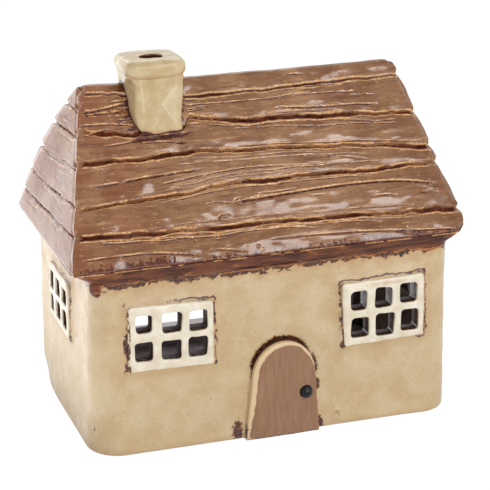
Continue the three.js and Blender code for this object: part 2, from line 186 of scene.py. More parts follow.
def make_piece(name, points, faces, material, **layers):
    """A piece in the row frame from points in millimetres, faces and values for its points."""
    mesh = bpy.data.meshes.new(name)
    mesh.from_pydata((np.asarray(points) * MM).tolist(), [], faces)
    set_layers(mesh, **layers)
    mesh.materials.append(material)
    tidy_mesh(mesh)
    return add_object(name, mesh)


def quads(grid):
    """The faces between the rows and columns of a grid of point numbers."""
    return np.stack([grid[:-1, :-1], grid[:-1, 1:], grid[1:, 1:], grid[1:, :-1]], -1).reshape(-1, 4).tolist()


def apply_modifiers(piece):
    """Leaves the piece with the mesh that its modifiers make."""
    bpy.context.view_layer.update()
    made = bpy.data.meshes.new_from_object(piece.evaluated_get(bpy.context.evaluated_depsgraph_get()))
    old = piece.data
    piece.modifiers.clear()
    piece.data = made
    made.name = piece.name
    bpy.data.meshes.remove(old)


def soften(piece, voxel, rounds, material):
    """Turns a sharp closed mesh into a fine one with soft edges, as wet clay has."""
    remesh = piece.modifiers.new("remesh", "REMESH")
    remesh.mode = "VOXEL"
    remesh.voxel_size = voxel * MM
    smooth = piece.modifiers.new("smooth", "SMOOTH")
    smooth.factor = 0.5
    smooth.iterations = rounds
    apply_modifiers(piece)
    piece.data.materials.clear()
    piece.data.materials.append(material)
    shade_smooth(piece.data)


def softened_copy(node, voxel, rounds, material):
    """A CAD node's own shape in a new piece, softened."""
    piece = add_object(node + "_clay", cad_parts[node].data.copy())
    needed = ("position", ".edge_verts", ".corner_vert", ".corner_edge", "material_index")
    for layer in list(piece.data.attributes):
        if layer.name not in needed and not layer.is_required:
            piece.data.attributes.remove(layer)
    tidy_mesh(piece.data)
    soften(piece, voxel, rounds, material)
    return piece


def place(piece, slot, *nodes):
    """The piece rides on the house, and the CAD nodes that it stands for are hidden. The slot is not used."""
    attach(piece, "root")
    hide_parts(*nodes)


def outline_prism(outlines, back, front, name="prism"):
    """A closed body from outlines in X and Z, the first its rim and the rest its holes, between two Y."""
    work = bmesh.new()
    edges = []
    for outline in outlines:
        ring = [work.verts.new((x * MM, back * MM, z * MM)) for x, z in outline]
        edges += [work.edges.new((ring[i - 1], ring[i])) for i in range(len(ring))]
    made = bmesh.ops.triangle_fill(work, edges=edges, use_beauty=True)["geom"]
    faces = [f for f in made if isinstance(f, bmesh.types.BMFace)]
    extruded = bmesh.ops.extrude_face_region(work, geom=faces)["geom"]
    moved = [v for v in extruded if isinstance(v, bmesh.types.BMVert)]
    bmesh.ops.translate(work, verts=moved, vec=(0, (front - back) * MM, 0))
    bmesh.ops.recalc_face_normals(work, faces=work.faces)
    mesh = bpy.data.meshes.new(name)
    work.to_mesh(mesh)
    work.free()
    return add_object(name, mesh)


# Materials

def rgb(red, green, blue):
    """A colour as a screen shows it, as the shader wants it."""
    made = [v / 255 for v in (red, green, blue)]
    return (*[v / 12.92 if v <= 0.04045 else ((v + 0.055) / 1.055) ** 2.4 for v in made], 1.0)


def add_node(tree, kind, inputs, out=0, **settings):
    node = tree.nodes.new("ShaderNode" + kind)
    for key, value in settings.items():
        setattr(node, key, value)
    for key, value in inputs.items():
        if isinstance(value, bpy.types.NodeSocket):
            tree.links.new(value, node.inputs[key])
        else:
            node.inputs[key].default_value = value
    return node.outputs[out] if node.outputs else None


def empty_material(name):
    material = bpy.data.materials.new(name)
    material.use_nodes = True
    material.node_tree.nodes.clear()
    return material


class Shader:
    """Builds a glaze or clay material out of nodes, with one colour laid over another."""

    def __init__(self, name):
        self.material = empty_material(name)
        coordinates = self.add("TexCoord", {}, "Object")
        self.place = self.add("VectorMath", {0: coordinates, 1: (1 / MM,) * 3}, operation="MULTIPLY")
        self.color = None

    def add(self, kind, inputs, out=0, **settings):
        return add_node(self.material.node_tree, kind, inputs, out, **settings)

    def mix(self, factor, a, b):
        return self.add("Mix", {0: factor, 6: a, 7: b}, out=2, data_type="RGBA")

    def over(self, factor, color):
        """Lays a colour over those so far, by a factor from 0 to 1."""
        self.color = self.mix(factor, self.color, rgb(*color) if isinstance(color, tuple) else color)

    def between(self, value, low, high, first, second):
        """A colour that goes from the first to the second as a value goes from low to high."""
        return self.mix(self.step(value, low, high), rgb(*first), rgb(*second))

    def math(self, operation, a, b=0.0):
        return self.add("Math", {0: a, 1: b}, operation=operation)

    def times(self, a, b):
        return self.math("MULTIPLY", a, b)

    def step(self, value, low, high, to_low=0.0, to_high=1.0):
        inputs = {"Value": value, "From Min": low, "From Max": high, "To Min": to_low, "To Max": to_high}
        return self.add("MapRange", inputs, interpolation_type="SMOOTHSTEP")

    def noise(self, cell, detail, seed, stretch=(1, 1, 1), roughness=0.5):
        """Noise from about 0 to 1 whose cells are this many millimetres, longer along a stretched axis."""
        scale = tuple(1 / (cell * s) for s in stretch)
        at = self.add("VectorMath", {0: self.place, 1: scale, 2: (seed,) * 3}, operation="MULTIPLY_ADD")
        return self.add("TexNoise", {"Vector": at, "Scale": 1.0, "Detail": detail, "Roughness": roughness})

    def gloss(self, cell, seed, low, high):
        """A roughness that noise moves between two values."""
        return self.step(self.noise(cell, 3, seed), 0.3, 0.7, low, high)

    def layer(self, name):
        return self.add("Attribute", {}, out=2, attribute_name=name, attribute_type="GEOMETRY")

    def axis(self, name):
        return self.add("SeparateXYZ", {0: self.place}, out="XYZ".index(name))

    def ragged(self, layer, grain, amount, low=0.4, high=0.6):
        """Where a layer is high, with an edge that noise has eaten."""
        shift = self.times(self.math("SUBTRACT", grain, 0.5), amount)
        return self.step(self.math("ADD", self.layer(layer), shift), low, high)

    def finish(self, roughness, bumps, specular=0.5):
        """The surface: its colour, its gloss, and bumps as (height, depth in millimetres)."""
        inputs = {}
        for height, depth in bumps:
            inputs.update({"Height": height, "Distance": depth * MM, "Strength": 1.0})
            inputs = {"Normal": self.add("Bump", inputs)}
        inputs.update({"Base Color": self.color, "Roughness": roughness, "Specular IOR Level": specular})
        self.add("OutputMaterial", {"Surface": self.add("BsdfPrincipled", inputs)})
        return self.material


def roof_glaze():
    """Glossy brown that breaks to orange on the lips and pools dark in the grooves."""
    s = Shader("roof_glaze")
    fine = s.noise(0.9, 4, 3)
    grain = s.noise(1.5, 4, 7, (9, 9, 1))
    thread = s.noise(0.8, 3, 9, (16, 16, 1))
    dash = s.noise(0.7, 3, 13, (4, 4, 1))
    s.color = s.between(s.noise(11, 3, 1), 0.3, 0.7, (128, 86, 54), (158, 116, 82))
    s.over(s.step(grain, 0.52, 0.72, 0, 0.6), (178, 136, 98))
    s.over(s.step(grain, 0.46, 0.3, 0, 0.65), (108, 62, 36))
    s.over(s.step(thread, 0.62, 0.72, 0, 0.55), (204, 162, 118))
    s.over(s.step(thread, 0.36, 0.28, 0, 0.6), (84, 42, 26))
    red = s.times(s.step(s.axis("X"), -30, -70), s.step(s.noise(14, 3, 5), 0.3, 0.6))
    s.over(s.times(red, 0.65), (134, 66, 32))
    s.over(s.step(s.axis("X"), 10, 70, 0, 0.4), (110, 66, 36))
    s.over(s.step(s.axis("Z"), 92, 74, 0, 0.3), (114, 68, 30))
    s.over(s.step(dash, 0.6, 0.7, 0, 0.5), (196, 150, 102))
    s.over(s.step(dash, 0.38, 0.3, 0, 0.5), (92, 52, 30))
    s.over(s.step(s.noise(0.8, 2, 11), 0.64, 0.72, 0, 0.6), (84, 48, 34))
    dark = s.between(s.noise(1.8, 3, 21), 0.35, 0.65, (62, 20, 12), (104, 48, 24))
    s.over(s.ragged("pool", fine, 1.1), dark)
    lip = s.ragged("lip", s.noise(1.4, 4, 31, (3, 2, 1)), 1.4, 0.36, 0.7)
    s.over(lip, s.between(fine, 0.35, 0.65, (188, 126, 72), (224, 182, 132)))
    bumps = (s.noise(2.6, 2, 51, (4, 4, 1.2)), 0.045), (s.noise(0.5, 2, 61), 0.005)
    return s.finish(s.gloss(5, 41, 0.08, 0.15), bumps, 0.35)


def wall_glaze():
    """Satin tan glaze, mottled, darker and browner where it pools at edges."""
    s = Shader("wall_glaze")
    grit = s.noise(0.8, 5, 3, roughness=0.65)
    s.color = s.between(s.noise(9, 4, 4), 0.32, 0.68, (190, 164, 124), (200, 178, 141))
    s.over(s.step(s.noise(2.6, 4, 6), 0.55, 0.75, 0, 0.4), (209, 190, 156))
    s.over(s.step(s.noise(1.1, 4, 2), 0.42, 0.3, 0, 0.3), (172, 142, 102))
    s.over(s.step(s.noise(0.9, 1, 8), 0.72, 0.78, 0, 0.7), (126, 92, 60))
    s.over(s.times(s.layer("warm"), 0.6), (178, 132, 82))
    s.over(s.ragged("pool", grit, 1.3), s.between(grit, 0.5, 0.6, (48, 21, 11), (140, 84, 44)))
    # A thin crack that wanders along a window's edge, by the layer that says how far off the edge is
    wander = s.times(s.math("SUBTRACT", s.noise(3.4, 4, 18, roughness=0.65), 0.5), 2.6)
    off_edge = s.math("SUBTRACT", s.math("SUBTRACT", s.layer("gap"), 0.9), wander)
    crack = s.step(s.math("ABSOLUTE", off_edge), 0.42, 0.16)
    s.over(s.times(crack, s.ragged("crack", grit, 1.2)), (70, 34, 12))
    return s.finish(s.gloss(6, 12, 0.24, 0.4), ((s.noise(3.2, 3, 14), 0.12), (s.noise(0.9, 4, 16), 0.06)))


def inner_glaze(name, dark, light, speck):
    """The thin gloss inside, with the clay grinning through."""
    s = Shader(name)
    s.color = s.between(s.noise(6, 4, 71), 0.35, 0.65, dark, light)
    s.over(s.step(s.noise(1.2, 4, 72), 0.58, 0.74, 0, 0.6), speck)
    s.over(s.layer("pool"), (48, 30, 22))
    return s.finish(s.gloss(4, 73, 0.1, 0.22), ((s.noise(2.2, 2, 74), 0.1), (s.noise(0.5, 3, 75), 0.01)))


def window_glaze():
    """Smooth cream-white glaze, brown where it runs thin at the edges."""
    s = Shader("window_glaze")
    fine = s.noise(0.8, 4, 82)
    s.color = s.between(s.noise(5, 3, 81), 0.3, 0.7, (214, 201, 176), (232, 223, 205))
    s.over(s.times(s.layer("warm"), 0.75), (186, 148, 104))
    s.over(s.step(s.noise(0.7, 1, 84), 0.73, 0.79, 0, 0.5), (140, 104, 72))
    s.over(s.ragged("pool", fine, 0.9), s.between(fine, 0.4, 0.6, (60, 38, 28), (104, 70, 48)))
    return s.finish(s.gloss(4, 85, 0.18, 0.3), ((s.noise(2.4, 3, 86), 0.08), (s.noise(0.5, 2, 87), 0.01)))


def door_glaze():
    """Pinkish brown with faint streaks up and down, and paler bevels."""
    s = Shader("door_glaze")
    fine = s.noise(0.8, 4, 92)
    streak = s.noise(1.3, 4, 91, (1, 1, 7))
    s.color = s.between(streak, 0.3, 0.7, (134, 97, 70), (149, 112, 83))
    s.over(s.step(s.noise(6, 3, 93), 0.4, 0.7, 0, 0.4), (142, 102, 70))
    s.over(s.ragged("lip", fine, 0.6), (214, 186, 148))
    s.over(s.times(s.ragged("warm", fine, 0.8), 0.8), (184, 120, 76))
    s.over(s.ragged("pool", fine, 0.9), (78, 50, 38))
    return s.finish(s.gloss(4, 94, 0.28, 0.42), ((streak, 0.1), (fine, 0.03)))


def eave_glaze():
    """Thick dark glaze under the boards, with an orange edge where it runs onto the wall."""
    s = Shader("eave_glaze")
    streak = s.noise(1.6, 4, 101, (7, 7, 1))
    s.color = s.between(streak, 0.35, 0.65, (62, 26, 12), (112, 60, 34))
    s.over(s.step(s.noise(2.2, 4, 105, (3, 3, 1)), 0.55, 0.7, 0, 0.75), (152, 92, 46))
    s.over(s.ragged("lip", s.noise(1.3, 4, 103), 1.2, 0.5, 0.75), (160, 104, 50))
    roughness = s.step(s.noise(0.9, 4, 102), 0.3, 0.7, 0.1, 0.22)
    return s.finish(roughness, ((streak, 0.14), (s.noise(2.0, 3, 104), 0.08)), 0.35)


def chimney_glaze():
    """Cream yellow gloss, with a painted reflection and a painted highlight in paler cream, and browner at
    the foot.
    """
    s = Shader("chimney_glaze")
    fine = s.noise(0.8, 4, 112)
    s.color = s.between(s.noise(5, 4, 111), 0.3, 0.7, (190, 166, 122), (206, 186, 146))
    s.over(s.step(fine, 0.42, 0.28, 0, 0.4), (172, 142, 96))
    # Paler cream where the chimney carries its painted reflection and highlight
    s.over(s.step(s.layer("lip"), 0.15, 0.85, 0, 0.5), (228, 214, 182))
    s.over(s.times(s.layer("warm"), 0.7), (196, 140, 84))
    s.over(s.ragged("pool", fine, 0.9), (70, 36, 24))
    bumps = (s.noise(2.6, 3, 114), 0.12), (s.noise(0.5, 2, 115), 0.012)
    return s.finish(s.gloss(4, 113, 0.14, 0.26), bumps, 0.4)


def knob_glaze():
    """Near-black gloss with a grey bloom."""
    s = Shader("knob_glaze")
    s.color = s.between(s.noise(1.2, 4, 121), 0.35, 0.7, (8, 8, 10), (26, 28, 32))
    return s.finish(s.gloss(0.8, 122, 0.05, 0.12), ((s.noise(1.2, 3, 123), 0.04),), 0.25)


def bare_clay():
    """Unglazed pale clay with grog in it, under a floor that is glazed on its upper side."""
    s = Shader("bare_clay")
    s.color = s.between(s.noise(5, 4, 131), 0.3, 0.7, (186, 160, 128), (206, 184, 152))
    s.over(s.step(s.noise(0.7, 2, 132), 0.66, 0.74, 0, 0.7), (140, 112, 84))
    glazed = s.step(s.axis("Z"), 4.0, 4.6)
    s.over(glazed, s.between(s.noise(6, 4, 135), 0.35, 0.65, (182, 170, 172), (206, 196, 198)))
    roughness = s.times(s.gloss(3, 133, 0.7, 0.9), s.step(glazed, 0, 1, 1.0, 0.12))
    return s.finish(roughness, ((s.noise(0.8, 5, 134), 0.05),))


ROOF = roof_glaze()
WALL = wall_glaze()
INNER = inner_glaze("inner_glaze", (78, 58, 50), (108, 86, 76), (132, 100, 76))
# Painted light: a pale copy of the inside glaze, so that the insides of the front and back walls look lit
# through the windows
INNER_PAINTED_LIGHT = inner_glaze("inner_painted_light_glaze", (196, 182, 186), (218, 206, 208), (180, 160, 150))
WINDOW = window_glaze()
DOOR = door_glaze()
EAVE = eave_glaze()
CHIMNEY = chimney_glaze()
KNOB = knob_glaze()
CLAY = bare_clay()

# Roof

BOARD_DEPTH = 2.6  # from the slope's plane to the back of the boards
GROOVE_FLOOR = -1.05
RIDGE_RADIUS = 4.14
RIDGE_TOP = 126.2
RIDGE_MIDDLE = RIDGE_TOP - RIDGE_RADIUS
RIDGE_CELL = 0.45
TANGENT_Z = 124.5  # the level at which the front and back slopes turn into the round ridge
MITRE_REACH = 6.0
SETTLE_ROUNDS = 8  # a place on a board is worked out this often, because the board's edges waver
CUT_BOARD_LENGTH = 60  # about, of a board that ends at the stack, for the size of its cells
RIDGE_STRIP_LENGTH, RIDGE_STRIP_WIDTH = 62, 18  # about, for the same
LONG_SIDES = ("front", "back")
# The neighbour at the low end of u, and the one at the high end
NEIGHBOURS = {"front": ("left", "right"), "back": ("right", "left"), "left": ("back", "front"),
              "right": ("front", "back")}


class Slope:
    """One side of the roof, with u along it, s up it and a height out of it."""

    def __init__(self, side):
        facing = FACINGS[side]
        reach = eave_half_y if side in LONG_SIDES else eave_half_x
        lean = eave_half_y - RIDGE_HALF if side in LONG_SIDES else RIDGE_SETBACK
        self.side = side
        self.length = math.hypot(lean, RISE)
        self.origin = np.array([facing[0] * reach, facing[1] * reach, eave_z])
        self.along = np.array([-facing[1], facing[0], 0.0])
        self.up = np.array([-facing[0] * lean, -facing[1] * lean, RISE]) / self.length
        self.out = np.cross(self.along, self.up)

    def s_at(self, z):
        return (np.asarray(z) - eave_z) / self.up[2]

    def z_at(self, s):
        return eave_z + np.asarray(s) * self.up[2]

    def at(self, u, s):
        return self.origin + u[:, None] * self.along + s[:, None] * self.up


SLOPES = {side: Slope(side) for side in FACINGS}


def half_width(side, z):
    """Half the width of a slope at a level. The ends follow the round ridge at their top."""
    z = np.asarray(z, float)
    if side in LONG_SIDES:
        return eave_half_x - RIDGE_SETBACK * (z - eave_z) / RISE
    straight = eave_half_y - (eave_half_y - RIDGE_HALF) * (z - eave_z) / RISE
    circle = np.sqrt(np.clip(RIDGE_RADIUS**2 - (z - RIDGE_MIDDLE) ** 2, 0, None))
    return np.where(z > TANGENT_Z, circle, straight)


# Levels at which the board joints reach each hip. The front-left hip hides its joints and is nicked instead
HIP_JOINTS = {
    ("front", "left"): None,
    ("back", "left"): [78.6, 87.8, 97.8, 108.6, 118.0],
    ("front", "right"): [78.0, 92.9, 98.2, 109.2, 121.8],
    ("back", "right"): [79.5, 90.0, 100.5, 110.5, 120.5],
}
FRONT_LEFT_NICKS = (81.8, 90.4, 102.2, 112.0, 119.5)


def hip_between(side, other):
    return (side, other) if side in LONG_SIDES else (other, side)


def back_left_bulge(z):
    """The back-left hip is fuller than the others."""
    return 1.9 * np.sin(np.pi * np.clip((z - eave_z) / RISE, 0, 1)) ** 0.8


def hip_height(hip, z):
    """How far a hip stands out at a level: what both slopes that meet there share."""
    z = np.asarray(z, float)
    up = z - eave_z
    height = 0.1 + 0.25 * noise_1d(z, 11, 400 + len(hip[0] + hip[1]))
    if HIP_JOINTS[hip] is None:
        nicks = sum(bell(z, level, 1.1) for level in FRONT_LEFT_NICKS)
        height = height + 0.3 * noise_1d(z, 4, 431) - 0.7 * nicks - 1.9 * ramp(122.2, 126.2, z)
        return height + 0.6 + 0.5 * ramp(110, 121, z) - 0.7 * ramp(1.5, 0, up)
    fuller = back_left_bulge(z) if hip == ("back", "left") else 0.0
    height = height + fuller
    if hip[1] == "right":
        height = height - 0.5 + 0.7 * bell(up, 7, 4) - 3.0 * ramp(5, 0, up) ** 1.5
    for joint in HIP_JOINTS[hip]:
        distance = z - joint
        height = height + 0.5 * np.where(distance > 0, np.exp(-distance / 4), 0)
        depth = bell(distance, 0, 0.75)
        height = height * (1 - depth) + (GROOVE_FLOOR + fuller) * depth
    return height - 0.7 * ramp(1.5, 0, up)


def end_normal(side, z):
    """The normal of a slope at a level, or of the round ridge over the front and back slopes."""
    out = SLOPES[side].out
    if side not in LONG_SIDES:
        return np.tile(out, (len(z), 1))
    sine = np.clip((z - RIDGE_MIDDLE) / RIDGE_RADIUS, -1, 1)
    circle = np.stack([0 * z, np.sqrt(1 - sine**2) * np.sign(out[1]), sine], 1)
    return np.where((z > TANGENT_Z)[:, None], circle, out)


def lift(points, normals, heights, slope, ends, above_eave, z):
    """Moves points out by their heights. Near a hip or the eave they move along its own plane."""
    eave_weight = ramp(4.0, 0, above_eave)[:, None]
    direction = normals.copy()
    if slope is not None:
        direction = direction + eave_weight * (-slope.up * (slope.out[2] / slope.up[2]))
    for other, distance in ends:
        near = distance < MITRE_REACH
        if not near.any():
            continue
        weight = ramp(MITRE_REACH, 0, distance[near])[:, None]
        mine, theirs = normals[near], end_normal(other, z[near])
        shared = (mine + theirs) / (1 + (mine * theirs).sum(1))[:, None]
        level = np.stack([mine, theirs, np.tile([0.0, 0.0, 1.0], (len(mine), 1))], 1)
        corner = np.linalg.solve(level, np.tile([1.0, 1.0, 0.0], (len(mine), 1))[:, :, None])[:, :, 0]
        away = eave_weight[near]
        target = shared * (1 - away) + corner * away
        direction[near] = direction[near] * (1 - weight) + target * weight
    return points + heights[:, None] * direction


def groove_field(u, s, grooves):
    """How deep, how dark and how raised each place is from short grooves, scratches and knots."""
    depth, dark, lip = np.zeros((3, len(u)))
    here = np.stack([u, s], 1)
    for line, deep, width in grooves:
        line = rounded(line) if 2 < len(line) < 10 else np.array(line, float)
        low, high = line.min(0) - 4 * width, line.max(0) + 4 * width
        near = np.all((here > low) & (here < high), axis=1)
        if not near.any():
            continue
        p = here[near]
        best = np.full(len(p), 1e9)
        side, travel = np.zeros((2, len(p)))
        before = 0.0
        for a, b, length in zip(line[:-1], line[1:], np.linalg.norm(np.diff(line, axis=0), axis=1)):
            t = np.clip(((p - a) @ (b - a)) / max(length**2, 1e-9), 0, 1)
            offset = p - (a + t[:, None] * (b - a))
            distance = np.linalg.norm(offset, axis=1)
            closer = distance < best
            best = np.where(closer, distance, best)
            side = np.where(closer, offset[:, 1], side)
            travel = np.where(closer, before + t * length, travel)
            before += length
        taper = np.sqrt(np.clip(np.minimum(travel, before - travel) / min(4.0, before / 2.5), 0, 1))
        uneven = 1 + 0.3 * noise_1d(travel, 4.5, int(abs(line[0, 0]) * 7 + 11))
        cut = bell(best, 0, width * uneven) * taper
        burr = bell(best, 1.7 * width, 0.7 * width) * taper
        depth[near] = np.minimum(depth[near], -deep * cut) + 0.12 * deep * burr * np.where(side > 0, 1, 0.4)
        dark[near] = np.maximum(dark[near], cut * min(1.0, deep / 0.28))
        lip[near] = np.maximum(lip[near], burr * np.where(side > 0, 1.0, 0.5) * min(1.0, deep / 0.26))
    return depth, dark, lip


def joint_depth(side, n, u):
    """How deep a board joint is at each place along it, and how dark its glaze has pooled, from 0 to 1."""
    seed = 600 + 17 * n + len(side)
    deep = 0.72 + 0.28 * noise_1d(u, 11, seed)
    dark = ramp(-0.55, 0.45, noise_1d(u, 16, seed + 1) + 0.4 * noise_1d(u, 5, seed + 2))
    return GROOVE_FLOOR * deep, dark


def stack_stain(points):
    """Where glaze that ran down the chimney has pooled round its foot."""
    low, high = stack_low[:2], stack_high[:2] - np.array([1.6, 0])
    outside = np.maximum(np.maximum(low - points[:, :2], points[:, :2] - high), 0)
    distance = np.hypot(outside[:, 0], 1.3 * outside[:, 1])
    ragged = distance + 2.3 * noise(points, (9, 2.5, 0.9), 700) + 0.7 * noise(points, (2.5, 1, 0.6), 701)
    return 0.95 * ramp(4.4, 0.8, ragged)


def unit_grid(columns, rows, crowd):
    """Places from 0 to 1 across a board and up it, with the rows crowded towards its edges."""
    a, tau = np.meshgrid(np.linspace(0, 1, columns), np.linspace(0, 1, rows))
    return a.ravel(), (tau - crowd * np.sin(2 * np.pi * tau)).ravel()


def mark(shape, rise, u, s, grooves, points):
    """Cuts the grooves into a board's height, pool and lip, and lets the chimney's glaze run over it."""
    height, pool, lip = shape
    cut, dark, edge = groove_field(u, s, grooves)
    stain = stack_stain(points)
    pool = np.maximum(np.maximum(pool, dark), stain)
    return height + cut * rise, pool, np.maximum(lip, edge) * (1 - 0.6 * stain)


def meet_hip(shape, distance, hip, worn, reach=2.6):
    """Draws a board's end down to its hip's height, and wears its pool and lip off at a worn hip."""
    height, pool, lip = shape
    height = height - 0.75 * np.clip(1 - distance / 3.0, 0, 1) ** 2 * ramp(0, 1.2, distance)
    share = ramp(reach, 0, distance)
    height = height * (1 - share) + (hip - 0.5) * share
    fade = ramp(3.2, 0.6, distance) if worn else 0
    return height, pool * (1 - fade), lip * (1 - 0.8 * fade)


END_LEAN = {"front": 0.979, "back": 0.979, "left": 0.816, "right": 0.816}  # from u to the distance off a hip


def board_mesh(name, side, n, lines, cell, grooves, left=None, right=None):
    """Board n of a slope, with its lip, its grooves and its share of the hips. It may end at the stack."""
    slope = SLOPES[side]
    lower, upper = lines[n], lines[n + 1]
    at_eave, at_ridge = n == 0, n == 5
    seed = 50 if at_ridge else 7 * n + len(side)
    whole = left is None and right is None
    span = 2 * half_width(side, eave_z + RISE / 2) if whole else CUT_BOARD_LENGTH
    columns = max(12, int(span * 1.15 / cell[0]))
    rows = max(8, int((float(upper(0.0)) - float(lower(0.0))) / slope.up[2] / cell[1]) + 4)
    a, t = unit_grid(columns, rows, 0.075)
    s = np.full(len(a), slope.length / 2)
    for _ in range(SETTLE_ROUNDS):
        reach = half_width(side, slope.z_at(s))
        low_u = -reach if left is None else left
        high_u = reach if right is None else right
        u = low_u + a * (high_u - low_u)
        bottom, top = slope.s_at(lower(u)), slope.s_at(upper(u))
        s = bottom + t * (top - bottom)
    z = slope.z_at(s)
    reach = half_width(side, z)
    points = slope.at(u, s)
    from_low, from_high = s - bottom, top - s
    # The left boards are flatter and calmer than the others
    tilt, raised, belly, restless = (0.45, 0.15, 0.1, 0.25) if side == "left" else (0.75, -0.15, 0.4, 1.0)
    body = tilt * (1 - t) + raised + belly * np.sin(np.pi * t)
    fuller = 0.0
    if side in ("left", "back"):
        fuller = 0.85 * back_left_bulge(z) * ramp(26, 0, reach + (u if side == "left" else -u))
    body += fuller
    waver = 0.28 * noise(points, (13, 9, 7), 40 + seed) + 0.1 * noise(points, (5, 3, 2.5), 60 + seed)
    body += restless * waver
    floor_low, dark_low = joint_depth(side, n, u)
    floor_high, dark_high = joint_depth(side, n + 1, u)
    if at_eave:
        rise = 1.0
        body = body - 0.9 * ramp(1.6, 0, from_low) ** 1.5
        ticks = 1.2 * noise_1d(u, 0.9, 84 + seed) + 1.2 * noise_1d(u, 14, 85 + seed)
        soaked = 0.68 * ramp(5.5, 0.3, from_low + ticks)
        pool = np.maximum(soaked, ramp(1.1, 0.3, from_low + 0.4 * noise_1d(u, 4, 86 + seed)))
        broken = ramp(-0.5, 0.4, noise_1d(u, 7, 87 + seed) + 0.6 * noise_1d(u, 1.8, 88 + seed))
        lip = broken * ramp(0.9, 0.2, from_low)
    else:
        rise = 1 - bell(from_low, 0, 0.42 * (1 + 0.3 * noise_1d(u, 4, 80 + seed)))
        pool = bell(from_low, 0, 0.34) * (0.45 + 0.55 * dark_low)
        broken = ramp(-0.6, 0.3, noise_1d(u, 8, 87 + seed) + 0.5 * noise_1d(u, 2.5, 88 + seed))
        lip = (0.4 + 0.6 * broken) * bell(from_low, 0.65, 0.32)
    if not at_ridge:
        rise = rise * (1 - bell(from_high, 0, 0.7 * (1 + 0.3 * noise_1d(u, 5, 90 + seed))))
        low_edge = 0.4 + 0.9 * dark_high
        pool = np.maximum(pool, ramp(low_edge + 0.35, low_edge * 0.6, from_high) * (0.55 + 0.45 * dark_high))
        lip = np.maximum(lip, 0.9 * bell(from_high - low_edge, 0.45, 0.34))
    if side == "left":
        pool, lip = 0.4 * pool, 0.7 * lip
    bed = np.where(t < 0.5, floor_low, floor_high) + fuller
    shape = mark((bed + (body - bed) * rise, pool, lip), rise, u, s, grooves, points)
    ends = list(zip(NEIGHBOURS[side], ((u + reach) * END_LEAN[side], (reach - u) * END_LEAN[side])))
    for other, distance in ends:
        hip = hip_between(side, other)
        # The lowest boards are rounder at their right corners
        spread = 5.0 if at_eave and hip[1] == "right" else 2.6
        shape = meet_hip(shape, distance, hip_height(hip, z), HIP_JOINTS[hip] is None, spread)
    height, pool, lip = shape
    if side not in LONG_SIDES:
        pool = np.where(z > TANGENT_Z, 0.3 * pool, pool)
    normals = np.tile(slope.out, (len(u), 1))
    surface = lift(points, normals, height, slope, ends, s, z)
    back = lift(points, normals, np.full(len(u), -BOARD_DEPTH), slope, ends, s, z)
    if side == "left" and at_eave:
        sag = 0.9 * np.sin(np.pi * a) * ramp(6, 0, from_low)
        surface[:, 2] -= sag
        back[:, 2] -= sag
    return close_board(name, surface, back, rows, pool, lip)


def close_board(name, surface, back, rows, pool, lip, folded=False):
    """Joins a grid's surface to its back along the rim. A folded board's back is made in strips."""
    grid = np.arange(len(surface)).reshape(rows, -1)
    rim = np.concatenate([grid[0, :-1], grid[:-1, -1], grid[-1, :0:-1], grid[:0:-1, 0]])
    under = {int(top): len(surface) + i for i, top in enumerate(rim)}
    faces = quads(grid)
    for here, following in zip(rim.tolist(), np.roll(rim, -1).tolist()):
        faces.append([here, under[here], under[following], following])
    if folded:
        outlines = [[*grid[0], grid[1, -1], grid[1, 0]], [*grid[-1], grid[-2, -1], grid[-2, 0]]]
        for lower, upper in zip(grid[1:-2], grid[2:-1]):
            outlines.append([lower[0], lower[-1], upper[-1], upper[0]])
    else:
        outlines = [rim]
    faces += [[under[int(v)] for v in outline] for outline in outlines]
    pool, lip = np.append(pool, np.ones(len(rim))), np.append(lip, np.zeros(len(rim)))
    return make_piece(name, np.vstack([surface, back[rim]]), faces, ROOF, pool=pool, lip=lip)


